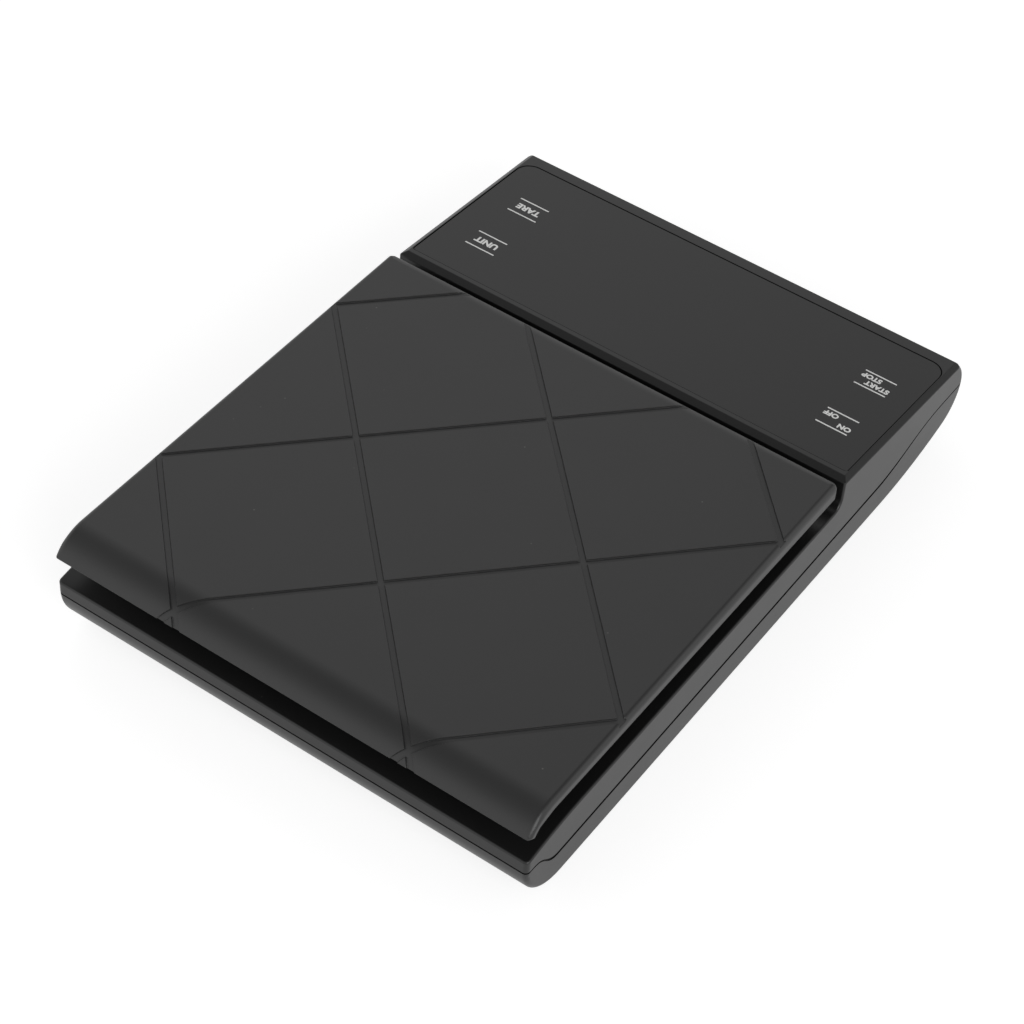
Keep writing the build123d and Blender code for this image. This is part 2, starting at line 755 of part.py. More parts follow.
with BuildPart() as lead_sockets:
    with BuildSketch(display_plane.offset(-board_depth - board_thickness)):
        with Locations((cell_lead_x, socket_v), (-battery_lead_x, socket_v)):
            Rectangle(socket_length, socket_width)
    extrude(amount=-socket_height)
lead_sockets.part.label = "lead_sockets"
export_step(lead_sockets.part, "parts/lead_sockets.step")

# ---------------------------------------------------------------- load cell, parted at its flexing webs
with BuildPart() as cell_bar:
    with BuildSketch(Plane.XY.offset(cell_z)):
        with Locations((0, platform_centre_y)):
            Rectangle(cell_length, cell_width)
    extrude(amount=cell_height)
    with BuildSketch(Plane.XZ.offset(-platform_centre_y)):
        with Locations((0, cell_z + cell_height / 2)):
            Rectangle(2 * cell_hole_x, cell_slot_height)
        with Locations((-cell_hole_x, cell_z + cell_height / 2), (cell_hole_x, cell_z + cell_height / 2)):
            Circle(cell_hole_radius)
    extrude(amount=cell_width, both=True, mode=Mode.SUBTRACT)
    with BuildSketch(Plane.XY.offset(cell_z)):
        with Locations(*cell_screw_places):
            Circle(cell_screw_radius + thread_clearance)
    extrude(amount=cell_screw_grip + 2 * thread_clearance, mode=Mode.SUBTRACT)
    with BuildSketch(Plane.XY.offset(cell_top_z)):
        with Locations(*carrier_screw_places):
            Circle(cell_screw_radius + thread_clearance)
    extrude(amount=-cell_screw_grip - 2 * thread_clearance, mode=Mode.SUBTRACT)

with BuildPart() as load_cell:
    add(cell_bar.part)
    split(bisect_by=Plane.YZ.offset(cell_hole_x - flexure_gap / 2), keep=Keep.BOTTOM)
load_cell.part.label = "load_cell"
export_step(load_cell.part, "parts/load_cell.step")

with BuildPart() as load_cell_free_end:
    add(cell_bar.part)
    split(bisect_by=Plane.YZ.offset(cell_hole_x + flexure_gap / 2), keep=Keep.TOP)
load_cell_free_end.part.label = "load_cell_free_end"
export_step(load_cell_free_end.part, "parts/load_cell_free_end.step")

with BuildPart() as gauge_covers:
    with BuildSketch(Plane.XY.offset(cell_top_z)):
        with Locations((-cell_hole_x, platform_centre_y)):
            Rectangle(gauge_cover_length, gauge_cover_width)
    extrude(amount=gauge_cover_thickness)
    with BuildSketch(Plane.XY.offset(cell_z)):
        with Locations((-cell_hole_x, platform_centre_y)):
            Rectangle(gauge_cover_length, gauge_cover_width)
    extrude(amount=-gauge_cover_thickness)
    fillet(gauge_covers.edges().filter_by(Axis.Z), gauge_cover_width / 4)
gauge_covers.part.label = "gauge_covers"
export_step(gauge_covers.part, "parts/gauge_covers.step")

with BuildPart() as load_cell_spacer:
    with BuildSketch(Plane.XY.offset(cell_pad_top)):
        with Locations((-spacer_x, platform_centre_y)):
            Rectangle(spacer_length, cell_width)
        with Locations(*cell_screw_places):
            Circle(cell_screw_radius + hole_clearance, mode=Mode.SUBTRACT)
    extrude(amount=cell_z - cell_pad_top)
load_cell_spacer.part.label = "load_cell_spacer"
export_step(load_cell_spacer.part, "parts/load_cell_spacer.step")

with BuildPart() as carrier_spacer:
    with BuildSketch(Plane.XY.offset(cell_top_z)):
        with Locations((spacer_x, platform_centre_y)):
            Rectangle(spacer_length, cell_width)
        with Locations(*carrier_screw_places):
            Circle(cell_screw_radius + hole_clearance, mode=Mode.SUBTRACT)
    extrude(amount=carrier_spacer_thickness)
carrier_spacer.part.label = "carrier_spacer"
export_step(carrier_spacer.part, "parts/carrier_spacer.step")

with BuildPart() as load_cell_screws:
    with BuildSketch(Plane.XY.offset(cell_screw_seat_z)):
        with Locations(*cell_screw_places):
            Circle(cell_screw_head_radius)
    extrude(amount=-cell_screw_head_height)
    with BuildSketch(Plane.XY.offset(cell_screw_seat_z)):
        with Locations(*cell_screw_places):
            Circle(cell_screw_radius)
    extrude(amount=cell_z - cell_screw_seat_z + cell_screw_grip)
    with BuildSketch(Plane.XY.offset(cell_screw_seat_z - cell_screw_head_height)):
        with Locations(*cell_screw_places):
            Rectangle(drive_length, drive_width)
            Rectangle(drive_width, drive_length)
    extrude(amount=drive_depth, mode=Mode.SUBTRACT)
load_cell_screws.part.label = "load_cell_screws"
export_step(load_cell_screws.part, "parts/load_cell_screws.step")

with BuildPart() as carrier_screws:
    with BuildSketch(Plane.XY.offset(carrier_screw_seat_z)):
        with Locations(*carrier_screw_places):
            Circle(cell_screw_head_radius)
    extrude(amount=carrier_screw_head_height)
    with BuildSketch(Plane.XY.offset(carrier_screw_seat_z)):
        with Locations(*carrier_screw_places):
            Circle(cell_screw_radius)
    extrude(amount=cell_top_z - cell_screw_grip - carrier_screw_seat_z)
    with BuildSketch(Plane.XY.offset(carrier_screw_seat_z + carrier_screw_head_height)):
        with Locations(*carrier_screw_places):
            Rectangle(drive_length, drive_width)
            Rectangle(drive_width, drive_length)
    extrude(amount=-drive_depth, mode=Mode.SUBTRACT)
carrier_screws.part.label = "carrier_screws"
export_step(carrier_screws.part, "parts/carrier_screws.step")

with BuildPart() as overload_stop:
    with BuildSketch(Plane.XY.offset(underside_z + thread_clearance)):
        with Locations((spacer_x, platform_centre_y)):
            Circle(stop_radius)
    extrude(amount=stop_top_z - underside_z - thread_clearance)
    with BuildSketch(Plane.XY.offset(underside_z)):
        with Locations((spacer_x, platform_centre_y)):
            RegularPolygon(stop_radius / 2, 6)
    extrude(amount=drive_depth, mode=Mode.SUBTRACT)
overload_stop.part.label = "overload_stop"
export_step(overload_stop.part, "parts/overload_stop.step")

# ---------------------------------------------------------------- carrier, pads and platform
with BuildPart() as platform_carrier:
    with BuildSketch(Plane.XY.offset(carrier_z)):
        with Locations((0, platform_centre_y)):
            RectangleRounded(2 * carrier_half_x, 2 * carrier_half_y, carrier_corner)
            RectangleRounded(
                2 * (carrier_half_x - carrier_rail),
                2 * (carrier_half_y - carrier_rail),
                carrier_corner,
                mode=Mode.SUBTRACT,
            )
            Rectangle(2 * carrier_half_x - carrier_rail, carrier_band)
    extrude(amount=carrier_thickness)
    with BuildSketch(Plane.XY.offset(carrier_hub_z)):
        with Locations((spacer_x, platform_centre_y)):
            Rectangle(spacer_length, cell_width)
    extrude(amount=carrier_z - carrier_hub_z)
    with BuildSketch(Plane.XY.offset(carrier_top_z)):
        with Locations(*post_places):
            Circle(post_radius)
    extrude(amount=post_top_z - carrier_top_z)
    with BuildSketch(Plane.XY.offset(post_top_z)):
        with Locations(*post_places):
            Circle(pad_peg_radius + thread_clearance)
    extrude(amount=-pad_peg_length - 2 * thread_clearance, mode=Mode.SUBTRACT)
    with BuildSketch(Plane.XY.offset(carrier_hub_z)):
        with Locations(*carrier_screw_places):
            Circle(cell_screw_radius + hole_clearance)
    extrude(amount=carrier_top_z - carrier_hub_z, mode=Mode.SUBTRACT)
    with BuildSketch(Plane.XY.offset(carrier_screw_seat_z)):
        with Locations(*carrier_screw_places):
            Circle(cell_screw_head_radius + hole_clearance)
    extrude(amount=carrier_thickness, mode=Mode.SUBTRACT)
platform_carrier.part.label = "platform_carrier"
export_step(platform_carrier.part, "parts/platform_carrier.step")

with BuildPart() as platform_pads:
    with BuildSketch(Plane.XY.offset(post_top_z)):
        with Locations(*post_places):
            Circle(pad_radius)
    extrude(amount=pad_thickness)
    with BuildSketch(Plane.XY.offset(post_top_z)):
        with Locations(*post_places):
            Circle(pad_peg_radius)
    extrude(amount=-pad_peg_length)
platform_pads.part.label = "platform_pads"
export_step(platform_pads.part, "parts/platform_pads.step")


def droop_point(radius, angle):
    """Place on the drooped edge's section, radius from its centre and angle down from the flat."""
    turn = radians(angle)
    return (droop_start_y + radius * sin(turn), overall_height - droop_radius + radius * cos(turn))


def platform_profile(depth):
    """Side view of the platform, skirt included, from depth under its top face down."""
    outer = droop_radius - depth
    inner = droop_radius - platform_thickness
    skirt_end = droop_point(inner, skirt_end_angle)
    low_front = (platform_front_y, overall_height - skirt_front_depth)
    with BuildSketch() as profile:
        with BuildLine():
            Line((platform_front_y, overall_height - depth), droop_point(outer, 0))
            TangentArc(droop_point(outer, 0), droop_point(outer, droop_angle), tangent=(1, 0))
            Line(droop_point(outer, droop_angle), droop_point(inner, droop_angle))
            ThreePointArc(
                droop_point(inner, droop_angle),
                droop_point(inner, (droop_angle + skirt_end_angle) / 2),
                skirt_end,
            )
            Line(skirt_end, (droop_start_y, overall_height - skirt_rear_depth))
            Line((droop_start_y, overall_height - skirt_rear_depth), low_front)
            Line(low_front, (platform_front_y, overall_height - depth))
        make_face()
    return profile.sketch


def hollow_profile():
    """Side view of the room inside the skirt, under the plate."""
    inner = droop_radius - platform_thickness
    skirt_end = droop_point(inner, skirt_end_angle)
    hollow_front_y = platform_front_y + skirt_wall
    hollow_low_z = overall_height - skirt_front_depth - beyond
    with BuildSketch() as profile:
        with BuildLine():
            Line((hollow_front_y, platform_underside_z), droop_point(inner, 0))
            TangentArc(droop_point(inner, 0), skirt_end, tangent=(1, 0))
            Line(skirt_end, (skirt_end[0], hollow_low_z))
            Line((skirt_end[0], hollow_low_z), (hollow_front_y, hollow_low_z))
            Line((hollow_front_y, hollow_low_z), (hollow_front_y, platform_underside_z))
        make_face()
    return profile.sketch


def depth_under_top(point):
    """How far a place lies under the platform's top face, droop included."""
    if point.Y <= droop_start_y:
        return overall_height - point.Z
    return droop_radius - hypot(point.Y - droop_start_y, point.Z - overall_height + droop_radius)


groove_lean = atan2(diamond_half_y, diamond_half_x)
full_profile = platform_profile(0)
core_profile = platform_profile(groove_depth)
plate_hollow = hollow_profile()
with BuildPart() as groove_floor:
    with BuildSketch(Plane.YZ):
        add(core_profile)
    extrude(amount=platform_half_width + beyond, both=True)

with BuildPart() as groove_cutter:
    with BuildSketch(Plane.XY):
        for count in (-3, -1, 1, 3):
            for side in (-1, 1):
                with Locations(
                    Location((0, diamond_centre_y + diamond_half_y * count, 0), side * degrees(groove_lean))
                ):
                    Rectangle(6 * overall_length, groove_width)
    extrude(amount=overall_height + beyond)
    add(groove_floor.part, mode=Mode.SUBTRACT)
    with BuildSketch(Plane.XY):
        Rectangle(4 * overall_length, 4 * overall_length)
    extrude(amount=overall_height - droop_radius, mode=Mode.SUBTRACT)

with BuildPart() as weighing_platform:
    with BuildSketch(Plane.YZ):
        add(full_profile)
    extrude(amount=platform_half_width, both=True)
    front_corners = weighing_platform.edges().filter_by(Axis.Z).group_by(Axis.Y)[0]
    fillet(front_corners, platform_front_corner)
    top_rim = weighing_platform.edges().filter_by(
        lambda edge: abs(depth_under_top(edge @ 0.5)) < 0.05
        and (abs((edge % 0.5).X) < 0.9 or (edge @ 0.5).Y < platform_front_y + 0.1)
    )
    fillet(top_rim, platform_edge_radius)
    tip_edge = weighing_platform.edges().filter_by(
        lambda edge: abs(depth_under_top(edge @ 0.5)) < 0.05 and (edge @ 0.5).Y > platform_rear_y - 0.1
    )
    fillet(tip_edge, tip_edge_radius)
    with BuildSketch(Plane.XY) as platform_plan:
        with Locations((0, platform_centre_y)):
            Rectangle(2 * platform_half_width, platform_rear_y - platform_front_y)
        fillet(platform_plan.vertices().group_by(Axis.Y)[-1], platform_rear_corner)
    extrude(amount=overall_height + beyond, mode=Mode.INTERSECT)
    add(groove_cutter.part, mode=Mode.SUBTRACT)
    with BuildSketch(Plane.YZ):
        add(plate_hollow)
    extrude(amount=platform_half_width - skirt_wall, both=True, mode=Mode.SUBTRACT)
    # rings round the pads, which keep the platform from sliding
    with BuildSketch(Plane.XY.offset(platform_underside_z)):
        with Locations(*post_places):
            Circle(pad_radius + ring_clearance + ring_thickness)
            Circle(pad_radius + ring_clearance, mode=Mode.SUBTRACT)
    extrude(amount=-ring_height)
weighing_platform.part.label = "weighing_platform"
export_step(weighing_platform.part, "parts/weighing_platform.step")

# ---------------------------------------------------------------- cells and contacts
nub_reach = bay_half_x - contact_thickness - thread_clearance
with BuildPart() as battery_cells:
    for side, y in zip((-1, 1), battery_places):
        with BuildSketch(Plane.YZ.offset(side * (nub_reach - battery_nub_length))):
            with Locations((y, battery_z)):
                Circle(battery_radius)
        extrude(amount=side * (battery_nub_length - battery_length))
        with BuildSketch(Plane.YZ.offset(side * nub_reach)):
            with Locations((y, battery_z)):
                Circle(battery_nub_radius)
        extrude(amount=-side * battery_nub_length)
battery_cells.part.label = "battery_cells"
export_step(battery_cells.part, "parts/battery_cells.step")

# two single plates with solder pins at one end of the bay, and a plate that joins the cells at the other
with BuildPart() as battery_contacts:
    with BuildSketch(Plane.YZ.offset(-bay_half_x)):
        with Locations(*[(y, battery_z) for y in battery_places]):
            Rectangle(contact_size, contact_size)
    extrude(amount=contact_thickness)
    with BuildSketch(Plane.YZ.offset(-bay_half_x)):
        with Locations(*[(y, battery_z) for y in battery_places]):
            Circle(contact_pin_radius)
    extrude(amount=-bay_wall - contact_pin_length)
    with BuildSketch(Plane.YZ.offset(bay_half_x)):
        with Locations((bay_centre_y, battery_z)):
            Rectangle(contact_size + battery_pitch, contact_size)
    extrude(amount=-contact_thickness)
battery_contacts.part.label = "battery_contacts"
export_step(battery_contacts.part, "parts/battery_contacts.step")

battery_spring_room = 2 * bay_half_x - 2 * contact_thickness - battery_length - thread_clearance
battery_spring_rise = battery_spring_room - battery_spring_wire - 2 * thread_clearance
battery_spring_turns = 4
with BuildPart() as battery_spring:
    with BuildLine():
        battery_coil = Helix(battery_spring_rise / battery_spring_turns, battery_spring_rise, battery_spring_radius)
    with BuildSketch(Plane(origin=battery_coil @ 0, z_dir=battery_coil % 0)):
        Circle(battery_spring_wire / 2)
    sweep(path=battery_coil, is_frenet=True)
spring_start = bay_half_x - contact_thickness - thread_clearance - battery_spring_wire / 2
front_spring_plane = Plane(origin=(spring_start, battery_places[0], battery_z), z_dir=(-1, 0, 0))
rear_spring_plane = Plane(origin=(-spring_start, battery_places[1], battery_z), z_dir=(1, 0, 0))
with BuildPart() as battery_springs:
    with Locations(front_spring_plane, rear_spring_plane):
        add(battery_spring.part)
battery_springs.part.label = "battery_springs"
export_step(battery_springs.part, "parts/battery_springs.step")

# ---------------------------------------------------------------- battery door
door_rear_y = bay_centre_y + bay_half_y + door_ledge - door_gap
door_front_y = bay_centre_y - bay_half_y - door_ledge + door_gap
tongue_z = underside_z + tongue_lip + tongue_clearance
with BuildPart() as battery_door:
    with BuildSketch(Plane.XY.offset(underside_z)):
        with Locations((0, bay_centre_y)):
            Rectangle(2 * (bay_half_x + door_ledge - door_gap), door_rear_y - door_front_y)
        with Locations((-latch_width / 2, door_rear_y), (latch_width / 2, door_rear_y)):
            Rectangle(latch_slit, 2 * latch_length, mode=Mode.SUBTRACT)
    extrude(amount=door_thickness)
    with BuildSketch(Plane.XY.offset(underside_z)):
        with Locations((-tongue_x, door_front_y), (tongue_x, door_front_y)):
            Rectangle(tongue_width, tongue_length, align=(Align.CENTER, Align.MIN))
    extrude(amount=tongue_z + tongue_thickness - underside_z)
    with BuildSketch(Plane.XY.offset(tongue_z)):
        with Locations((-tongue_x, hinge_y - tongue_length), (tongue_x, hinge_y - tongue_length)):
            Rectangle(tongue_width, 2 * tongue_length, align=(Align.CENTER, Align.MIN))
    extrude(amount=tongue_thickness)
    with BuildSketch(Plane.XY.offset(underside_z)):
        with Locations((0, door_rear_y - grip_count * grip_pitch / 2)):
            with GridLocations(1, grip_pitch, 1, grip_count):
                Rectangle(grip_length, grip_pitch / 2)
    extrude(amount=grip_depth, mode=Mode.SUBTRACT)
battery_door.part.label = "battery_door"
export_step(battery_door.part, "parts/battery_door.step")

# ---------------------------------------------------------------- casing screws and feet
with BuildPart() as casing_screws:
    with BuildSketch(Plane.XY.offset(casing_screw_head_z)):
        with Locations(*casing_screw_places):
            Circle(casing_screw_head_radius)
    extrude(amount=-casing_screw_head_height)
    with BuildSketch(Plane.XY.offset(casing_screw_head_z)):
        with Locations(*casing_screw_places):
            Circle(casing_screw_radius)
    extrude(amount=casing_screw_length)
    with BuildSketch(Plane.XY.offset(casing_screw_head_z - casing_screw_head_height)):
        with Locations(*casing_screw_places):
            Rectangle(drive_length, drive_width)
            Rectangle(drive_width, drive_length)
    extrude(amount=drive_depth, mode=Mode.SUBTRACT)
casing_screws.part.label = "casing_screws"
export_step(casing_screws.part, "parts/casing_screws.step")

with BuildPart() as rubber_feet:
    with BuildSketch(Plane.XY):
        with Locations(*foot_places):
            Circle(foot_radius)
    extrude(amount=underside_z + foot_recess)
    fillet(rubber_feet.edges().group_by(Axis.Z)[0], foot_edge_radius)
rubber_feet.part.label = "rubber_feet"
export_step(rubber_feet.part, "parts/rubber_feet.step")

# ---------------------------------------------------------------- leads inside the casing
cell_lead_start = (cell_lead_end_x, platform_centre_y - cell_width / 2, cell_z + cell_lead_radius)
cell_lead_level = cell_lead_start[2]
with BuildPart() as load_cell_lead:
    with BuildLine():
        cell_lead_path = FilletPolyline(
            cell_lead_start,
            (cell_lead_end_x, cell_lead_start[1] - cell_lead_turn, cell_lead_level),
            (cell_lead_x, cell_lead_start[1] - cell_lead_turn, cell_lead_level),
            (cell_lead_x, socket_foot.Y, cell_lead_level),
            (cell_lead_x, socket_foot.Y, socket_foot.Z - cell_lead_radius * tilt_rise - thread_clearance),
            radius=lead_bend,
        )
    with BuildSketch(Plane(origin=cell_lead_path @ 0, z_dir=cell_lead_path % 0)):
        Circle(cell_lead_radius)
    sweep(path=cell_lead_path)
load_cell_lead.part.label = "load_cell_lead"
export_step(load_cell_lead.part, "parts/load_cell_lead.step")


def battery_wire(side):
    """One wire from a contact's solder pin to the socket; side is -1 for the front cell's, 1 for the rear's."""
    start_x = -bay_half_x - bay_wall - contact_pin_length
    run_x = -battery_lead_x - side * battery_lead_pitch / 2
    y = bay_centre_y + side * battery_pitch / 2
    with BuildPart() as wire:
        with BuildLine():
            path = FilletPolyline(
                (start_x, y, battery_z),
                (run_x, y, battery_z),
                (run_x, socket_foot.Y, battery_z),
                (run_x, socket_foot.Y, socket_foot.Z - battery_lead_radius * tilt_rise - thread_clearance),
                radius=battery_lead_pitch / 2,
            )
        with BuildSketch(Plane(origin=path @ 0, z_dir=path % 0)):
            Circle(battery_lead_radius)
        sweep(path=path)
    return wire.part


front_battery_wire = battery_wire(-1)
rear_battery_wire = battery_wire(1)
with BuildPart() as battery_lead:
    add(front_battery_wire)
    add(rear_battery_wire)
battery_lead.part.label = "battery_lead"
export_step(battery_lead.part, "parts/battery_lead.step")
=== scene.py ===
"""Digital gram scale: finishes, platform surface, key labels and studio, built round the packed frame."""

from math import asin, cos, hypot, pi, radians, sin, sqrt

import bmesh
import bpy
from bpy.props import FloatProperty, FloatVectorProperty, PointerProperty
from mathutils import Matrix, Vector
from mathutils.geometry import delaunay_2d_cdt


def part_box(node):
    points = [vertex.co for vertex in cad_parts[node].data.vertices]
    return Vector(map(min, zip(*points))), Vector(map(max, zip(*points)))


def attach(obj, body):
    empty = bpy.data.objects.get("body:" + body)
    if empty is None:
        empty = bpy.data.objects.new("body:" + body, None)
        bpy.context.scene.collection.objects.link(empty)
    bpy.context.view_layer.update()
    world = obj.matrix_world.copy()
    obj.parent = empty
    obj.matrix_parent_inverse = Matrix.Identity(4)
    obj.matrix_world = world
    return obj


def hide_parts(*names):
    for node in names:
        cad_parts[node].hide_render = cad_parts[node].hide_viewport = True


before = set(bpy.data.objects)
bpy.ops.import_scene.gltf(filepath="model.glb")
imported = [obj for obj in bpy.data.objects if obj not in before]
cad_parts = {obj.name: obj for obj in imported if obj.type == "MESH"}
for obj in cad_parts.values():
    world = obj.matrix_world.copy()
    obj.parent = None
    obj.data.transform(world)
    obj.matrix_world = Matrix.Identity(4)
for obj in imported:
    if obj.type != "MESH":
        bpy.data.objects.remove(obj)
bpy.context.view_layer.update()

bl_info = {
    "name": "Digital Gram Scale",
    "version": (1, 0, 0),
    "blender": (4, 5, 0),
    "location": "3D View > Sidebar > Gram Scale",
    "description": "Builds the finishes and the visible details of a digital gram scale",
    "category": "Object",
}

MM = 0.001
UP = Vector((0, 0, 1))


# ---- settings
class PlatformSettings(bpy.types.PropertyGroup):
    """Sizes of the grooved weighing platform, in metres."""

    thickness: FloatProperty(name="Thickness", description="Plate thickness", default=2.4 * MM, unit="LENGTH")
    droop_radius: FloatProperty(
        name="Droop radius", description="Outer radius of the rolled rear edge",
        default=10.8 * MM, unit="LENGTH"
    )
    droop_angle: FloatProperty(
        name="Droop angle", description="How far the rear edge rolls down",
        default=radians(58), subtype="ANGLE"
    )
    front_corner: FloatProperty(
        name="Front corner", description="Corner radius beside the display", default=1.5 * MM, unit="LENGTH"
    )
    rear_corner: FloatProperty(
        name="Rear corner", description="Corner radius at the rolled edge", default=0.9 * MM, unit="LENGTH"
    )
    rim_rounding: FloatProperty(
        name="Rim rounding", description="Width of the rounding of the top rim",
        default=1.4 * MM, unit="LENGTH"
    )
    rim_fall: FloatProperty(
        name="Rim fall", description="Height of that rounding, as a share of the side's height", default=0.5
    )
    front_rounding: FloatProperty(
        name="Front rounding", description="Width of the wider rounding beside the display",
        default=3.0 * MM, unit="LENGTH"
    )
    front_fall: FloatProperty(
        name="Front fall", description="Height of that rounding", default=1.3 * MM, unit="LENGTH"
    )
    tip_rounding: FloatProperty(
        name="Tip rounding", description="Rounding at the rolled edge's tip", default=0.25 * MM, unit="LENGTH"
    )
    under_rounding: FloatProperty(
        name="Lower rounding", description="Rounding of the lower rim", default=0.25 * MM, unit="LENGTH"
    )
    tile_half_x: FloatProperty(
        name="Tile half width", description="Half of a diamond tile, side to side",
        default=32.0 * MM, unit="LENGTH"
    )
    tile_half_y: FloatProperty(
        name="Tile half length", description="Half of a diamond tile, front to rear",
        default=32.85 * MM, unit="LENGTH"
    )
    tile_centre_y: FloatProperty(
        name="Tile centre", description="Middle of the central tile", default=27.0 * MM, unit="LENGTH"
    )
    groove_width: FloatProperty(
        name="Groove width", description="Width of a groove at the top", default=1.62 * MM, unit="LENGTH"
    )
    groove_floor: FloatProperty(
        name="Groove floor", description="Flat width at the bottom of a groove",
        default=1.2 * MM, unit="LENGTH"
    )
    groove_depth: FloatProperty(
        name="Groove depth", description="Depth of a groove", default=0.52 * MM, unit="LENGTH"
    )
    skirt_wall: FloatProperty(
        name="Skirt wall", description="Wall that hangs down at the sides and the front",
        default=1.6 * MM, unit="LENGTH"
    )
    skirt_front: FloatProperty(
        name="Skirt, front", description="Height of the side at the front", default=4.7 * MM, unit="LENGTH"
    )
    skirt_rear: FloatProperty(
        name="Skirt, rear", description="Height of the side where the roll begins",
        default=3.2 * MM, unit="LENGTH"
    )
    skirt_end: FloatProperty(
        name="Skirt end", description="Where on the roll the skirt runs out",
        default=radians(38), subtype="ANGLE"
    )
    ring_radius: FloatProperty(
        name="Ring radius", description="Inner radius of a locating ring", default=5.4 * MM, unit="LENGTH"
    )
    ring_wall: FloatProperty(
        name="Ring wall", description="Wall of a locating ring", default=1.4 * MM, unit="LENGTH"
    )
    ring_height: FloatProperty(
        name="Ring height", description="Height of a locating ring", default=3.6 * MM, unit="LENGTH"
    )


class LabelSettings(bpy.types.PropertyGroup):
    """Sizes of the printed key labels, in metres."""

    letter_height: FloatProperty(
        name="Letter height", description="Height of the capitals of a single word",
        default=2.2 * MM, unit="LENGTH"
    )
    pair_letter_height: FloatProperty(
        name="Pair letter height", description="Height of the capitals where two words stand on one key",
        default=1.75 * MM, unit="LENGTH"
    )
    line_length: FloatProperty(
        name="Line length", description="Length of the lines above and below a label",
        default=8.7 * MM, unit="LENGTH"
    )
    line_width: FloatProperty(
        name="Line width", description="Width of a printed line", default=0.4 * MM, unit="LENGTH"
    )
    line_gap: FloatProperty(
        name="Line gap", description="Distance between a label's two lines", default=6.0 * MM, unit="LENGTH"
    )
    key_x: FloatProperty(
        name="Key place across", description="From the middle to a key", default=51.6 * MM, unit="LENGTH"
    )
    shift_x: FloatProperty(
        name="Print shift", description="How far the whole print lies to one side",
        default=-0.75 * MM, unit="LENGTH"
    )
    row_gap: FloatProperty(
        name="Row gap", description="Distance between the two words of a key",
        default=2.45 * MM, unit="LENGTH"
    )
    weight: FloatProperty(
        name="Letter weight", description="Widening of the strokes, as a share of the letter size",
        default=0.045
    )
    front_y: FloatProperty(
        name="Front keys", description="Middle of the front pair of keys", default=-70.3 * MM, unit="LENGTH"
    )
    rear_y: FloatProperty(
        name="Rear keys", description="Middle of the rear pair of keys", default=-51.6 * MM, unit="LENGTH"
    )
    ink_thickness: FloatProperty(
        name="Ink thickness", description="How far the print stands on the film",
        default=0.02 * MM, unit="LENGTH"
    )


class FinishSettings(bpy.types.PropertyGroup):
    """Colours of the pieces that show."""

    casing: FloatVectorProperty(
        name="Casing", description="Casing plastic", default=(0.008, 0.008, 0.008), size=3, subtype="COLOR"
    )
    platform: FloatVectorProperty(
        name="Platform", description="Platform plastic", default=(0.02, 0.02, 0.02), size=3, subtype="COLOR"
    )
    film: FloatVectorProperty(
        name="Display film", description="Film over the display",
        default=(0.005, 0.005, 0.005), size=3, subtype="COLOR"
    )
    ink: FloatVectorProperty(
        name="Label ink", description="Ink of the key labels",
        default=(0.75, 0.75, 0.74), size=3, subtype="COLOR"
    )
    rubber: FloatVectorProperty(
        name="Rubber", description="Feet and platform pads",
        default=(0.03, 0.03, 0.031), size=3, subtype="COLOR"
    )


class StudioSettings(bpy.types.PropertyGroup):
    """Camera and light."""

    target: FloatVectorProperty(
        name="Target", description="What the camera looks at",
        default=(-0.0104, 0.0243, 0.0315), subtype="TRANSLATION"
    )
    azimuth: FloatProperty(
        name="Azimuth", description="Camera direction round the scale",
        default=radians(211.98), subtype="ANGLE"
    )
    elevation: FloatProperty(
        name="Elevation", description="Camera height angle", default=radians(46.33), subtype="ANGLE"
    )
    roll: FloatProperty(name="Roll", description="Camera roll", default=radians(4.458), subtype="ANGLE")
    distance: FloatProperty(
        name="Distance", description="Camera distance from its target", default=0.6312, unit="LENGTH"
    )
    lens: FloatProperty(name="Lens", description="Focal length in millimetres", default=97.61)
    world: FloatProperty(
        name="World light", description="Strength of the light round the scale", default=0.98
    )
    world_lean: FloatVectorProperty(
        name="World lean", description="How much that light grows towards each side", default=(0.4, 0.2, 0.0)
    )
    softbox: FloatProperty(name="Softbox", description="Power of the softbox, in watts", default=12.0)
    floor_seen: FloatProperty(
        name="Floor seen", description="Own light of the floor as it is seen", default=0.35
    )
    floor_mirrored: FloatProperty(
        name="Floor mirrored", description="Own light of the floor as it is mirrored", default=0.42
    )
    floor_spread: FloatProperty(
        name="Floor spread", description="Own light of the floor on matte surfaces", default=0.4
    )


GROUPS = (
    ("scale_platform", PlatformSettings),
    ("scale_labels", LabelSettings),
    ("scale_finish", FinishSettings),
    ("scale_studio", StudioSettings),
)


# ---- shader nodes
def group_sockets(tree, in_out, kind, **sockets):
    """Adds named sockets of one kind to a node group, each with its default."""
    for name, default in sockets.items():
        tree.interface.new_socket(name=name, in_out=in_out, socket_type=kind).default_value = default


def add_node(tree, kind, inputs=(), **settings):
    """Adds a shader node; an input takes a value, or another node's socket that it is joined to."""
    node = tree.nodes.new(kind)
    for name, value in settings.items():
        setattr(node, name, value)
    for name, value in dict(inputs).items():
        if isinstance(value, bpy.types.NodeSocket):
            tree.links.new(value, node.inputs[name])
        else:
            node.inputs[name].default_value = value
    return node


def add_math(tree, operation, *inputs):
    """Adds a Math node and returns its result."""
    return add_node(tree, "ShaderNodeMath", dict(enumerate(inputs)), operation=operation).outputs[0]


# cells of the broad patches and of the dust in a metre; a speck's radius is a share of a cell
BROAD_SCALE = 90.0
NOISE_MIDDLE = 0.5
SPECK_SCALE = 130.0
SPECK_RADIUS = 0.035
SPECK_COLOR = (0.35, 0.34, 0.32, 1)
GRAIN_DEPTH = 0.02 * MM
SURFACE_IOR = 1.5


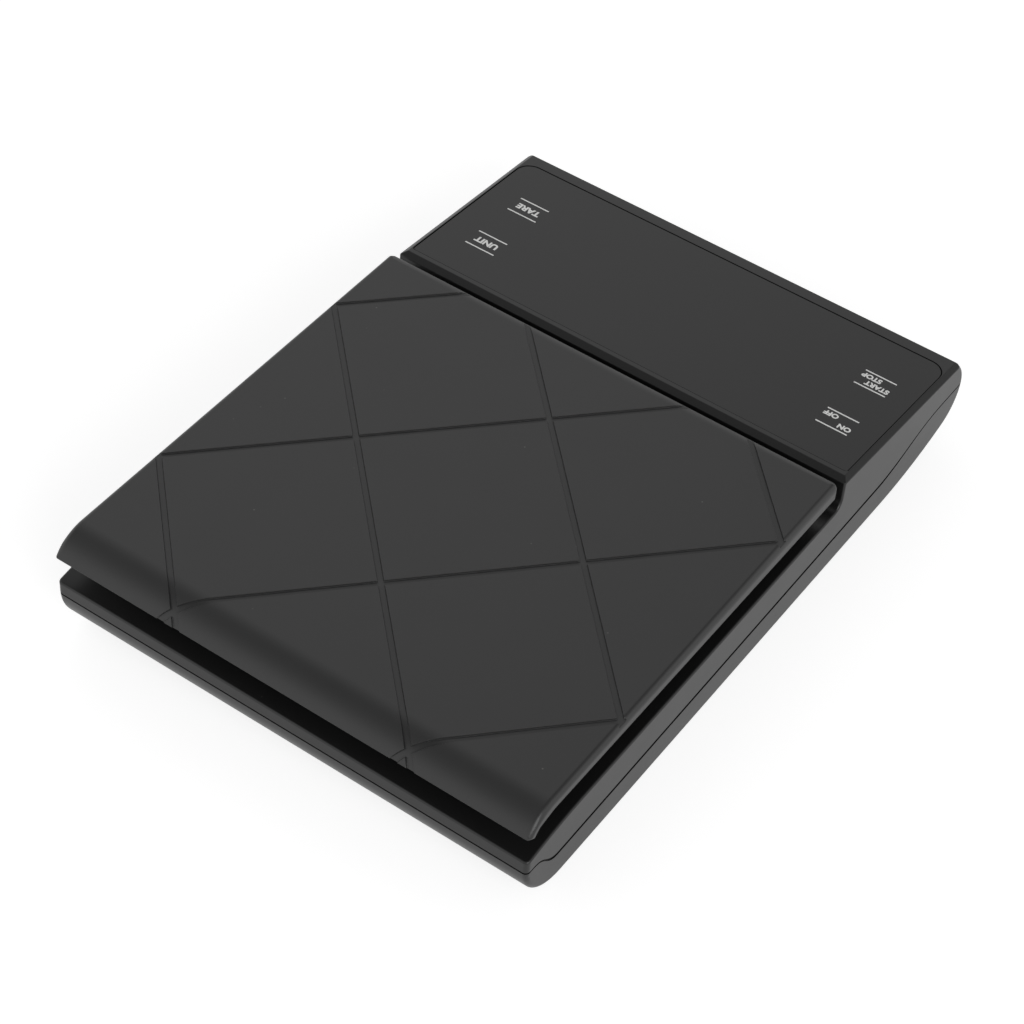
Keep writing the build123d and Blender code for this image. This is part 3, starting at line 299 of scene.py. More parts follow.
def grain_group():
    """Moulded grain: a fine bump height, and patches that vary the roughness."""
    name = "Moulded Grain"
    if name in bpy.data.node_groups:
        return bpy.data.node_groups[name]
    tree = bpy.data.node_groups.new(name, "ShaderNodeTree")
    group_sockets(tree, "INPUT", "NodeSocketFloat", Scale=4000.0, Roughness=0.4, Variation=0.05)
    group_sockets(tree, "OUTPUT", "NodeSocketFloat", Height=0.0, Roughness=0.0)
    entry = add_node(tree, "NodeGroupInput")
    place = add_node(tree, "ShaderNodeTexCoord").outputs["Object"]
    fine = add_node(
        tree,
        "ShaderNodeTexNoise",
        {"Vector": place, "Scale": entry.outputs["Scale"], "Detail": 2.0, "Roughness": 0.6},
    )
    broad = add_node(tree, "ShaderNodeTexNoise", {"Vector": place, "Scale": BROAD_SCALE, "Detail": 4.0})
    centred = add_math(tree, "SUBTRACT", broad.outputs["Fac"], NOISE_MIDDLE)
    spread = add_math(tree, "MULTIPLY_ADD", centred, entry.outputs["Variation"], entry.outputs["Roughness"])
    add_node(tree, "NodeGroupOutput", {"Height": fine.outputs["Fac"], "Roughness": spread})
    return tree


def specks_group():
    """Faint dust: small pale specks in the base colour."""
    name = "Dust Specks"
    if name in bpy.data.node_groups:
        return bpy.data.node_groups[name]
    tree = bpy.data.node_groups.new(name, "ShaderNodeTree")
    group_sockets(tree, "INPUT", "NodeSocketColor", Color=(0.02, 0.02, 0.02, 1))
    group_sockets(tree, "INPUT", "NodeSocketFloat", Amount=0.3)
    group_sockets(tree, "OUTPUT", "NodeSocketColor", Color=(0, 0, 0, 1))
    entry = add_node(tree, "NodeGroupInput")
    place = add_node(tree, "ShaderNodeTexCoord").outputs["Object"]
    cells = add_node(tree, "ShaderNodeTexVoronoi", {"Vector": place, "Scale": SPECK_SCALE})
    near = add_node(
        tree,
        "ShaderNodeMapRange",
        {"Value": cells.outputs["Distance"], "From Min": SPECK_RADIUS, "From Max": 0.0},
    )
    amount = add_math(tree, "MULTIPLY", near.outputs["Result"], entry.outputs["Amount"])
    mix = add_node(
        tree,
        "ShaderNodeMix",
        {"Factor": amount, "A": entry.outputs["Color"], "B": SPECK_COLOR},
        data_type="RGBA",
    )
    add_node(tree, "NodeGroupOutput", {"Color": mix.outputs["Result"]})
    return tree


# ---- materials
def add_grain(material, shader, scale, roughness, variation, strength):
    """Places the grain group in a material, on roughness and bump."""
    tree = material.node_tree
    grain = add_node(
        tree,
        "ShaderNodeGroup",
        {"Scale": scale, "Roughness": roughness, "Variation": variation},
        node_tree=grain_group(),
    )
    bump = add_node(
        tree,
        "ShaderNodeBump",
        {"Height": grain.outputs["Height"], "Strength": strength, "Distance": GRAIN_DEPTH},
    )
    tree.links.new(bump.outputs["Normal"], shader.inputs["Normal"])
    tree.links.new(grain.outputs["Roughness"], shader.inputs["Roughness"])


def add_specks(material, shader, color, amount):
    """Places the dust group in a material, on the base colour."""
    tree = material.node_tree
    inputs = {"Color": (*color, 1), "Amount": amount}
    specks = add_node(tree, "ShaderNodeGroup", inputs, node_tree=specks_group())
    tree.links.new(specks.outputs["Color"], shader.inputs["Base Color"])


def grained(name, color, roughness, grain, strength, variation, metallic=0.0, specks=0.0):
    """A material with the grain and, where asked, the dust; it is made once and then shared."""
    title = f"{name} finish"
    if title in bpy.data.materials:
        return bpy.data.materials[title]
    material = bpy.data.materials.new(title)
    material.use_nodes = True
    shader = material.node_tree.nodes["Principled BSDF"]
    shader.inputs["Base Color"].default_value = (*color, 1)
    shader.inputs["Metallic"].default_value = metallic
    shader.inputs["IOR"].default_value = SURFACE_IOR
    add_grain(material, shader, grain, roughness, variation, strength)
    if specks:
        add_specks(material, shader, color, specks)
    return material


def plastic(name, color, roughness=0.35, grain=2500.0, strength=0.25, specks=0.0):
    """Moulded plastic with a satin grain."""
    return grained(name, color, roughness, grain, strength, variation=0.05, specks=specks)


def metal(name, color, roughness=0.3, grain=900.0, strength=0.1):
    """Plated or milled metal with fine marks."""
    return grained(name, color, roughness, grain, strength, variation=0.12, metallic=1.0)


def steel():
    """Plated steel of screws, spacers and the overload stop."""
    return metal("steel", (0.6, 0.6, 0.6))


def spring_steel():
    """Bright wire of the springs."""
    return metal("spring_steel", (0.55, 0.55, 0.56), roughness=0.22)


def rubber(context):
    """Matte rubber of the feet and pads."""
    return plastic("rubber", context.scene.scale_finish.rubber, roughness=0.75, strength=0.6)


def paint(material, *nodes):
    """Gives frame nodes one material."""
    for node in nodes:
        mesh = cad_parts[node].data
        mesh.materials.clear()
        mesh.materials.append(material)


# ---- mesh helpers
def link_piece(name, mesh, body, material):
    """Makes an object from a mesh and lets it ride on a body."""
    piece = bpy.data.objects.new(name, mesh)
    bpy.context.scene.collection.objects.link(piece)
    mesh.materials.append(material)
    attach(piece, body)
    return piece


GROOVE_COUNTS = (-3, -1, 1, 3)
GROOVE_SHARES = (0.0, 0.25, 0.5, 0.75, 1.0)
CORNER_STEPS = 10
RIM_STEPS = 10
DROOP_STEPS = 20
LOWER_STEPS = 3
STEEPEST_RIM = 60.0
NEARLY_ZERO = 1e-9
SAME_PLACE = 1e-6
PLAN_TOLERANCE = 1e-5
# what the plan triangles cover: everything round the points, or only the inside of the given outline
WHOLE_HULL, INSIDE_ONLY = 0, 1


class PlatformSurface:
    """The platform's top as a bent sheet: places are x and s, the way along the sheet from front to rear."""

    def __init__(self, sizes):
        low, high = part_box("weighing_platform")
        self.sizes = sizes
        self.half_width = high.x
        self.top_z = high.z
        self.front = low.y
        self.centre_z = high.z - sizes.droop_radius
        self.bend = high.y - sizes.droop_radius * sin(sizes.droop_angle)
        self.end = self.bend + sizes.droop_radius * sizes.droop_angle

    def angle(self, s):
        """Slope of the sheet at s."""
        return max(0.0, (s - self.bend) / self.sizes.droop_radius)

    def y_of(self, s):
        """Plan place of s."""
        if s <= self.bend:
            return s
        return self.bend + self.sizes.droop_radius * sin(self.angle(s))

    def s_of(self, y):
        """Way along the sheet of a plan place."""
        if y <= self.bend:
            return y
        return self.bend + self.sizes.droop_radius * asin(min(1.0, (y - self.bend) / self.sizes.droop_radius))

    def normal(self, s):
        """Outward direction of the sheet at s."""
        angle = self.angle(s)
        return Vector((0, sin(angle), cos(angle)))

    def point(self, x, s, depth):
        """Place that lies depth under the sheet."""
        if s <= self.bend:
            return Vector((x, s, self.top_z - depth))
        angle = self.angle(s)
        radius = self.sizes.droop_radius - depth
        return Vector((x, self.bend + radius * sin(angle), self.centre_z + radius * cos(angle)))

    def side_depth(self, s):
        """How deep the side and the front wall reach under the sheet at s."""
        sizes = self.sizes
        if s <= self.bend:
            share = (self.bend - s) / (self.bend - self.front)
            return sizes.skirt_rear + (sizes.skirt_front - sizes.skirt_rear) * share
        if self.angle(s) >= sizes.skirt_end:
            return sizes.thickness
        inner = sizes.droop_radius - sizes.thickness
        start = Vector((0, sizes.droop_radius - sizes.skirt_rear))
        run = Vector((inner * sin(sizes.skirt_end), inner * cos(sizes.skirt_end))) - start
        across = Vector((-run.y, run.x))
        return sizes.droop_radius - across.dot(start) / across.dot((sin(self.angle(s)), cos(self.angle(s))))

    def groove_distance(self, x, y, side, count):
        """Signed distance from one groove's middle line, and the direction across it."""
        sizes = self.sizes
        slope = Vector((1 / sizes.tile_half_x, side / sizes.tile_half_y))
        value = x * slope.x + (y - sizes.tile_centre_y) * slope.y - count
        return value / slope.length, slope.normalized()

    def groove(self, x, s):
        """Depth of the grooves at a place, and its slope in x and s."""
        sizes = self.sizes
        y = self.y_of(s)
        half = sizes.groove_width / 2
        floor = sizes.groove_floor / 2
        best = (0.0, Vector((0, 0)))
        for side in (-1, 1):
            for count in GROOVE_COUNTS:
                distance, direction = self.groove_distance(x, y, side, count)
                reach = abs(distance)
                if reach >= half:
                    continue
                part = min(1.0, (half - reach) / (half - floor))
                depth = sizes.groove_depth * part * part * (3 - 2 * part)
                if depth <= best[0]:
                    continue
                rate = sizes.groove_depth * 6 * part * (1 - part) / (half - floor)
                towards = -rate * (1 if distance > 0 else -1)
                along = direction.y * cos(self.angle(s))
                best = (depth, Vector((direction.x * towards, along * towards)))
        return best

    def rim_place(self, x, s):
        """Distance in from the outline, the outward direction there and the rim's rounding."""
        sizes = self.sizes
        corner = sizes.front_corner if s < (self.front + self.end) / 2 else sizes.rear_corner
        over_x = abs(x) - (self.half_width - corner)
        over_s = max(self.front + corner - s, s - (self.end - corner))
        sign_x = 1 if x > 0 else -1
        sign_s = -1 if s < (self.front + self.end) / 2 else 1
        if over_x > 0 and over_s > 0:
            distance = corner - hypot(over_x, over_s)
            outward = Vector((sign_x * over_x, sign_s * over_s)).normalized()
        elif over_x > over_s:
            distance = corner - over_x
            outward = Vector((sign_x, 0))
        else:
            distance = corner - over_s
            outward = Vector((0, sign_s))
        return distance, outward, self.end_share(outward, sign_s)

    def end_share(self, outward, end):
        """How much the outline faces the rolled end, or the display as a negative share."""
        return end * max(0.0, end * outward.y) ** 2

    def rounding(self, share):
        """Width of the rim's rounding: each end has its own."""
        sizes = self.sizes
        end_rounding = sizes.tip_rounding if share > 0 else sizes.front_rounding
        return sizes.rim_rounding + (end_rounding - sizes.rim_rounding) * abs(share)

    def fall(self, s, share):
        """Height of the rim's rounding."""
        sizes = self.sizes
        side_fall = sizes.rim_fall * self.side_depth(s)
        end_fall = sizes.tip_rounding if share > 0 else sizes.front_fall
        return side_fall + (end_fall - side_fall) * abs(share)

    def rim(self, x, s):
        """Depth of the rim's rounding at a place, and its slope in x and s."""
        distance, outward, share = self.rim_place(x, s)
        rounding = self.rounding(share)
        if distance >= rounding:
            return 0.0, Vector((0, 0))
        fall = self.fall(s, share)
        inside = min(1.0, 1.0 - distance / rounding)
        rise = sqrt(max(0.0, 1.0 - inside**2))
        slope = min(STEEPEST_RIM, fall / rounding * inside / max(rise, NEARLY_ZERO))
        return fall * (1.0 - rise), outward * slope

    def top(self, x, s):
        """Place on the finished top face, and its normal."""
        rim_depth, rim_slope = self.rim(x, s)
        groove_depth, groove_slope = self.groove(x, s)
        depth, slope = (rim_depth, rim_slope) if rim_depth >= groove_depth else (groove_depth, groove_slope)
        angle = self.angle(s)
        along = Vector((0, cos(angle), -sin(angle)))
        normal = self.normal(s) + Vector((1, 0, 0)) * slope.x + along * slope.y
        return self.point(x, s, depth), normal.normalized()


def outline_points(surface, share):
    """Closed outline of the sheet in x and s, moved in by a share of each place's own rim rounding."""
    sizes = surface.sizes
    points = []
    quarters = ((1, -1, -pi / 2), (1, 1, 0.0), (-1, 1, pi / 2), (-1, -1, pi))
    for sign_x, sign_s, start in quarters:
        corner = sizes.front_corner if sign_s < 0 else sizes.rear_corner
        edge = surface.front if sign_s < 0 else surface.end
        centre = Vector((sign_x * (surface.half_width - corner), edge - sign_s * corner))
        for index in range(CORNER_STEPS + 1):
            turn = start + pi / 2 * index / CORNER_STEPS
            outward = Vector((cos(turn), sin(turn)))
            rounding = surface.rounding(surface.end_share(outward, sign_s))
            points.append(centre + outward * (corner - share * rounding))
    return points


def add_loop(surface, points, corners, edges):
    """Adds a closed loop of x and s points to the plan drawing."""
    first = len(corners)
    for x, s in points:
        corners.append(Vector((x, surface.y_of(s))) / MM)
    count = len(points)
    for index in range(count):
        edges.append((first + index, first + (index + 1) % count))
    return list(range(first, first + count))


def groove_lines(surface):
    """Straight plan lines that follow every groove's edges, slopes and floor."""
    sizes = surface.sizes
    half = sizes.groove_width / 2
    floor = sizes.groove_floor / 2
    offsets = [0.0, *(floor + (half - floor) * share for share in GROOVE_SHARES)]
    lines = []
    reach = 3 * surface.half_width
    for side in (-1, 1):
        for count in GROOVE_COUNTS:
            _, direction = surface.groove_distance(0, 0, side, count)
            along = Vector((-direction.y, direction.x))
            middle = Vector((0, sizes.tile_centre_y + side * count * sizes.tile_half_y))
            for offset in sorted({-o for o in offsets} | set(offsets)):
                start = middle + direction * offset - along * reach
                lines.append((start, start + along * 2 * reach))
    return lines


def clip_line(start, end, low, high):
    """The part of a plan line inside a box, or None."""
    step = end - start
    first, last = 0.0, 1.0
    for axis in range(2):
        if abs(step[axis]) < NEARLY_ZERO:
            if not low[axis] <= start[axis] <= high[axis]:
                return None
            continue
        enter = (low[axis] - start[axis]) / step[axis]
        leave = (high[axis] - start[axis]) / step[axis]
        first = max(first, min(enter, leave))
        last = min(last, max(enter, leave))
    if first >= last:
        return None
    return start + step * first, start + step * last


def inside_polygon(place, polygon):
    """Whether a plan place lies inside a closed polygon."""
    inside = False
    previous = polygon[-1]
    for corner in polygon:
        if (corner.y > place.y) != (previous.y > place.y):
            crossing = corner.x + (place.y - corner.y) * (previous.x - corner.x) / (previous.y - corner.y)
            if place.x < crossing:
                inside = not inside
        previous = corner
    return inside


def boundary_loop(faces):
    """The outer edge of a patch of faces, as one ordered loop of vertex numbers."""
    following = {}
    for face in faces:
        for index, start in enumerate(face):
            end = face[(index + 1) % len(face)]
            following.setdefault(start, set()).add(end)
    edge = {}
    for start, ends in following.items():
        for end in ends:
            if start not in following.get(end, ()):
                edge[start] = end
    first = next(iter(edge))
    loop = [first]
    while edge[loop[-1]] != first:
        loop.append(edge[loop[-1]])
    return loop


def platform_top(surface):
    """Plan triangles of the top face, as places in x and s and faces."""
    corners, edges = [], []
    outer = add_loop(surface, outline_points(surface, 0.0), corners, edges)
    for step in range(1, RIM_STEPS + 1):
        share = 1 - cos(pi / 2 * step / RIM_STEPS)
        add_loop(surface, outline_points(surface, share), corners, edges)
    margin = MM
    low = Vector((-surface.half_width - margin, surface.front - margin))
    high = Vector((surface.half_width + margin, surface.y_of(surface.end) + margin))
    lines = groove_lines(surface)
    for step in range(DROOP_STEPS):
        s = surface.bend + (surface.end - surface.bend) * step / DROOP_STEPS
        y = surface.y_of(s)
        lines.append((Vector((low.x, y)), Vector((high.x, y))))
    for start, end in lines:
        clipped = clip_line(start, end, low, high)
        if clipped:
            corners.extend(place / MM for place in clipped)
            edges.append((len(corners) - 2, len(corners) - 1))
    polygon = [corners[index] for index in outer]
    places, _, faces, *_ = delaunay_2d_cdt(corners, edges, [], WHOLE_HULL, PLAN_TOLERANCE)
    kept = []
    for face in faces:
        middle = sum((places[index] for index in face), Vector((0, 0))) / len(face)
        if inside_polygon(middle, polygon):
            kept.append(tuple(face))
    used = sorted({index for face in kept for index in face})
    renumber = {old: new for new, old in enumerate(used)}
    flat = [(places[old].x * MM, surface.s_of(places[old].y * MM)) for old in used]
    return flat, [tuple(renumber[index] for index in face) for face in kept]


class MeshDraft:
    """Corners and faces of a mesh, with a normal for every corner of every face."""

    def __init__(self):
        self.places = []
        self.faces = []
        self.normals = []

    def add_place(self, place):
        """Adds a corner and returns its number."""
        self.places.append(place)
        return len(self.places) - 1

    def add_face(self, corners, normals):
        """Adds a face with its corner normals."""
        self.faces.append(tuple(corners))
        self.normals.extend(normals)

    def finish(self, name):
        """Makes the mesh."""
        mesh = bpy.data.meshes.new(name)
        mesh.from_pydata(self.places, [], self.faces)
        mesh.shade_smooth()
        mesh.normals_split_custom_set(self.normals)
        mesh.update()
        return mesh


def shared_row(draft, places, surface, depth_at):
    """A row of corners under the given places; places that repeat share one corner."""
    numbers = {}
    row = []
    for x, s in places:
        key = (round(x / MM, 4), round(s / MM, 4))
        if key not in numbers:
            numbers[key] = draft.add_place(surface.point(x, s, depth_at(s)))
        row.append(numbers[key])
    return row


def add_bands(draft, rows, row_normals):
    """Closed bands of faces between neighbouring rows of corners."""
    count = len(rows[0])
    for upper, under, upper_normals, under_normals in zip(rows, rows[1:], row_normals, row_normals[1:]):
        for index in range(count):
            after = (index + 1) % count
            corners = {
                upper[after]: upper_normals[after],
                upper[index]: upper_normals[index],
                under[index]: under_normals[index],
                under[after]: under_normals[after],
            }
            if len(corners) > 2:
                draft.add_face(corners, corners.values())


def add_underside(draft, surface, hollow, roof):
    """The plate's lower face, bent with the sheet."""
    numbers, places = [], []
    for place, number in zip(hollow, roof):
        if number not in numbers:
            numbers.append(number)
            places.append(place)
    plan = [Vector((x, surface.y_of(s))) / MM for x, s in places]
    links = []
    for index, (x, s) in enumerate(places):
        if x > 0 or s < surface.bend - SAME_PLACE:
            continue
        for other, (other_x, other_s) in enumerate(places):
            if other_x > 0 and abs(other_s - s) < SAME_PLACE and abs(other_x + x) < SAME_PLACE:
                links.append((index, other))
    order = list(range(len(plan)))
    _, _, faces, *_ = delaunay_2d_cdt(plan, links, [order[::-1]], INSIDE_ONLY, PLAN_TOLERANCE)
    for face in faces:
        corners = [numbers[index] for index in face]
        draft.add_face(corners[::-1], [-surface.normal(places[index][1]) for index in face][::-1])


def platform_mesh(sizes):
    """The whole plate: grooved top, rim, side walls, hollow and underside."""
    surface = PlatformSurface(sizes)
    flat, faces = platform_top(surface)
    draft = MeshDraft()
    top_normals = []
    for x, s in flat:
        place, normal = surface.top(x, s)
        draft.add_place(place)
        top_normals.append(normal)
    for face in faces:
        draft.add_face(face, [top_normals[index] for index in face])
    loop = boundary_loop(faces)
    wall_normals = []
    for index in loop:
        x, s = flat[index]
        _, outward, _ = surface.rim_place(x, s)
        angle = surface.angle(s)
        wall_normals.append(Vector((outward.x, outward.y * cos(angle), -outward.y * sin(angle))))
    rows, row_normals = [loop], [wall_normals]
    lower = sizes.under_rounding
    for step in range(LOWER_STEPS + 1):
        turn = pi / 2 * step / LOWER_STEPS
        row, normals = [], []
        for number, index in enumerate(loop):
            x, s = flat[index]
            _, outward, _ = surface.rim_place(x, s)
            inward = outward * lower * (1 - cos(turn))
            depth = surface.side_depth(s) - lower + lower * sin(turn)
            row.append(draft.add_place(surface.point(x - inward.x, s - inward.y, depth)))
            normals.append((wall_normals[number] * cos(turn) - surface.normal(s) * sin(turn)).normalized())
        rows.append(row)
        row_normals.append(normals)
    inner_x = surface.half_width - sizes.skirt_wall
    inner_low, inner_high = surface.front + sizes.skirt_wall, surface.end - sizes.skirt_wall
    hollow = []
    for index in loop:
        x, s = flat[index]
        hollow.append((max(-inner_x, min(inner_x, x)), max(inner_low, min(inner_high, s))))
    rows.append(shared_row(draft, hollow, surface, surface.side_depth))
    row_normals.append([-surface.normal(s) for _, s in hollow])
    add_bands(draft, rows, row_normals)
    roof = shared_row(draft, hollow, surface, lambda s: sizes.thickness)
    inward = [-Vector((normal.x, normal.y, 0)).normalized() for normal in wall_normals]
    add_bands(draft, [rows[-1], roof], [inward, inward])
    add_underside(draft, surface, hollow, roof)
    return draft.finish("weighing_plate")


TURN_STEPS = 64
SHARP_ANGLE = radians(35)


def lathe_mesh(name, outline):
    """A turned shape from (radius, height) points, closed on itself, smooth but for its sharp edges."""
    mesh = bpy.data.meshes.new(name)
    shape = bmesh.new()
    rings = []
    for radius, height in outline:
        ring = []
        for step in range(TURN_STEPS):
            turn = 2 * pi * step / TURN_STEPS
            ring.append(shape.verts.new((radius * cos(turn), radius * sin(turn), height)))
        rings.append(ring)
    for index, ring in enumerate(rings):
        following = rings[(index + 1) % len(rings)]
        for step in range(TURN_STEPS):
            after = (step + 1) % TURN_STEPS
            shape.faces.new((ring[step], ring[after], following[after], following[step]))
    bmesh.ops.recalc_face_normals(shape, faces=shape.faces)
    shape.to_mesh(mesh)
    shape.free()
    mesh.shade_smooth()
    mesh.set_sharp_from_angle(angle=SHARP_ANGLE)
    return mesh


# ---- display film plane
DISPLAY_TILT = radians(4.8)


def film_matrix(x, y, lift):
    """Placement on the film's top face at a plan place, raised by lift."""
    outward = Vector((0, -sin(DISPLAY_TILT), cos(DISPLAY_TILT)))
    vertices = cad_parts["display_window"].data.vertices
    height = lift + max(vertex.co.dot(outward) for vertex in vertices)
    z = (height - y * outward.y) / outward.z
    return Matrix.Translation((x, y, z)) @ Matrix.Rotation(DISPLAY_TILT, 4, "X")


# ---- light of the studio
# light of the surroundings by height: sine of the elevation, then brightness
SKY_LEVELS = (
    (0.0, 1.0), (0.43, 1.0), (0.51, 0.95), (0.6, 0.82), (0.7, 0.6), (0.78, 0.42), (0.87, 0.3), (1.0, 0.27)
)
# soft panels: azimuth, elevation, half angle and blur in degrees, then strength
SOFT_PANELS = ((39, 54, 14, 8, 0.62), (-63, 12, 22, 9, 0.8))
# metres, and millimetres for the sensor
SOFTBOX_PLACE = (-1.35, 0.81, 0.86)
SOFTBOX_SIZE = 1.0
FLOOR_SIZE = 6.0
NEAREST_SEEN = 0.01
SENSOR_WIDTH = 36.0
FLOOR_COLOR = (0.45, 0.45, 0.45, 1)


def towards(turn, rise):
    """The direction at an azimuth and an elevation; the front lies at azimuth 0."""
    return Vector((sin(turn) * cos(rise), -cos(turn) * cos(rise), sin(rise)))


# ---- operators
class SCALE_OT_studio(bpy.types.Operator):
    """Camera, floor and soft light"""

    bl_idname = "gram_scale.studio"
    bl_label = "Studio"

    def execute(self, context):
        settings = context.scene.scale_studio
        back = towards(settings.azimuth, settings.elevation)
        right = UP.cross(back).normalized()
        up = back.cross(right)
        across = right * cos(settings.roll) + up * sin(settings.roll)
        upward = -right * sin(settings.roll) + up * cos(settings.roll)
        camera_data = bpy.data.cameras.new("camera")
        camera_data.lens = settings.lens
        camera_data.sensor_width = SENSOR_WIDTH
        camera_data.clip_start = NEAREST_SEEN
        camera = bpy.data.objects.new("camera", camera_data)
        context.scene.collection.objects.link(camera)
        placement = Matrix((across, upward, back)).transposed().to_4x4()
        placement.translation = Vector(settings.target) + back * settings.distance
        camera.matrix_world = placement
        context.scene.camera = camera
        self.add_floor(context, settings)
        self.add_world(context, settings)
        self.add_softbox(context, settings.softbox)
        context.scene.view_settings.view_transform = "Standard"
        return {"FINISHED"}

    def add_floor(self, context, settings):
        """A broad floor that shows white and keeps the shadow."""
        mesh = bpy.data.meshes.new("floor")
        shape = bmesh.new()
        bmesh.ops.create_grid(shape, x_segments=2, y_segments=2, size=FLOOR_SIZE)
        shape.to_mesh(mesh)
        shape.free()
        floor = bpy.data.objects.new("floor", mesh)
        context.scene.collection.objects.link(floor)
        material = bpy.data.materials.new("floor")
        material.use_nodes = True
        tree = material.node_tree
        tree.nodes.clear()
        seen = add_node(tree, "ShaderNodeLightPath").outputs
        spread = settings.floor_spread
        clear = add_math(tree, "MAXIMUM", seen["Is Camera Ray"], seen["Is Transmission Ray"])
        mirrored = add_math(
            tree, "MULTIPLY_ADD", seen["Is Glossy Ray"], settings.floor_mirrored - spread, spread
        )
        amount = add_math(tree, "MULTIPLY_ADD", clear, settings.floor_seen, mirrored)
        matte = add_node(tree, "ShaderNodeBsdfDiffuse", {"Color": FLOOR_COLOR})
        glow = add_node(tree, "ShaderNodeEmission", {"Strength": amount})
        both = add_node(tree, "ShaderNodeAddShader", {0: matte.outputs[0], 1: glow.outputs[0]})
        add_node(tree, "ShaderNodeOutputMaterial", {"Surface": both.outputs[0]})
        mesh.materials.append(material)

    def add_world(self, context, settings):
        """Soft light that fades upwards and grows towards one side, with the soft panels in it."""
        world = bpy.data.worlds.new("studio")
        context.scene.world = world
        world.use_nodes = True
        tree = world.node_tree
        tree.nodes.clear()
        direction = add_node(tree, "ShaderNodeTexCoord").outputs["Generated"]
        split = add_node(tree, "ShaderNodeSeparateXYZ", {0: direction})
        ramp = add_node(tree, "ShaderNodeValToRGB", {"Fac": split.outputs["Z"]})
        points = ramp.color_ramp.elements
        points[0].position, points[1].position = SKY_LEVELS[0][0], SKY_LEVELS[-1][0]
        for position, _ in SKY_LEVELS[1:-1]:
            points.new(position)
        for point, (_, brightness) in zip(points, SKY_LEVELS):
            point.color = (brightness, brightness, brightness, 1)
        inputs = {0: direction, 1: settings.world_lean}
        lean = add_node(tree, "ShaderNodeVectorMath", inputs, operation="DOT_PRODUCT")
        level = add_math(tree, "ADD", lean.outputs["Value"], settings.world)
        total = add_math(tree, "MULTIPLY", ramp.outputs["Color"], level)
        for *shape, strength in SOFT_PANELS:
            total = self.add_panel(tree, direction, total, shape, strength)
        light = add_node(tree, "ShaderNodeBackground", {"Strength": total})
        add_node(tree, "ShaderNodeOutputWorld", {"Surface": light.outputs[0]})

    def add_panel(self, tree, direction, light, shape, strength):
        """Adds one round soft-edged panel to the light of the surroundings; returns the new total."""
        turn, rise, size, blur = (radians(angle) for angle in shape)
        inputs = {0: direction, 1: towards(turn, rise)}
        facing = add_node(tree, "ShaderNodeVectorMath", inputs, operation="DOT_PRODUCT")
        edge = {"From Min": cos(size + blur), "From Max": cos(size - blur), "To Max": strength}
        inputs = {"Value": facing.outputs["Value"], **edge}
        panel = add_node(tree, "ShaderNodeMapRange", inputs, interpolation_type="SMOOTHSTEP")
        return add_math(tree, "ADD", light, panel.outputs["Result"])

    def add_softbox(self, context, power):
        """One broad softbox behind the scale."""
        data = bpy.data.lights.new("softbox", "AREA")
        data.shape = "SQUARE"
        data.size = SOFTBOX_SIZE
        data.energy = power
        lamp = bpy.data.objects.new("softbox", data)
        context.scene.collection.objects.link(lamp)
        lamp.location = SOFTBOX_PLACE
        lamp.rotation_euler = Vector(SOFTBOX_PLACE).to_track_quat("Z", "Y").to_euler()


class SCALE_OT_casings(bpy.types.Operator):
    """Upper and lower casing and the battery door, in satin plastic"""

    bl_idname = "gram_scale.casings"
    bl_label = "Casings"

    def execute(self, context):
        color = context.scene.scale_finish.casing
        shell = plastic("casing_plastic", color, roughness=0.3, specks=0.25)
        paint(shell, "upper_casing", "lower_casing", "battery_door")
        return {"FINISHED"}


# locating rings: play round a pad, slope of the lower edges, and how far a ring reaches into the plate
PAD_PLAY = 0.4 * MM
RING_EDGE = 0.3 * MM
RING_ROOT = 0.2 * MM


class SCALE_OT_platform(bpy.types.Operator):
    """Weighing platform with its grooves, rolled rear edge and locating rings"""

    bl_idname = "gram_scale.platform"
    bl_label = "Weighing platform"

    def execute(self, context):
        sizes = context.scene.scale_platform
        finish = plastic("platform_plastic", context.scene.scale_finish.platform, roughness=0.36, specks=0.3)
        plate = link_piece("weighing_plate", platform_mesh(sizes), "platform", finish)
        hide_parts("weighing_platform")
        self.add_rings(sizes, finish)
        return {"FINISHED"}

    def add_rings(self, sizes, finish):
        """Rings under the plate, one round each rubber pad."""
        low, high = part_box("platform_pads")
        _, plate_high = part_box("weighing_platform")
        pad_radius = sizes.ring_radius - PAD_PLAY
        top = plate_high.z - sizes.thickness
        inner, outer = sizes.ring_radius, sizes.ring_radius + sizes.ring_wall
        low_edge = RING_EDGE - sizes.ring_height
        outline = (
            (inner, RING_ROOT),
            (inner, low_edge),
            (inner + RING_EDGE, -sizes.ring_height),
            (outer - RING_EDGE, -sizes.ring_height),
            (outer, low_edge),
            (outer, RING_ROOT),
        )
        for index, x in enumerate((low.x + pad_radius, high.x - pad_radius)):
            for row, y in enumerate((low.y + pad_radius, high.y - pad_radius)):
                name = f"locating_ring_{2 * row + index + 1}"
                ring = link_piece(name, lathe_mesh(name, outline), "platform", finish)
                ring.matrix_world = Matrix.Translation((x, y, top))


class SCALE_OT_window(bpy.types.Operator):
    """Display film and the tape under it"""

    bl_idname = "gram_scale.window"
    bl_label = "Display window"

    def execute(self, context):
        color = context.scene.scale_finish.film
        paint(plastic("window_film", color, roughness=0.3, grain=6000.0, strength=0.06), "display_window")
        paint(plastic("tape", (0.02, 0.02, 0.02), roughness=0.7, strength=0.5), "window_tape")
        return {"FINISHED"}


# half the thickness of a letter while it is 1 unit in size
LETTER_EXTRUDE = 0.01


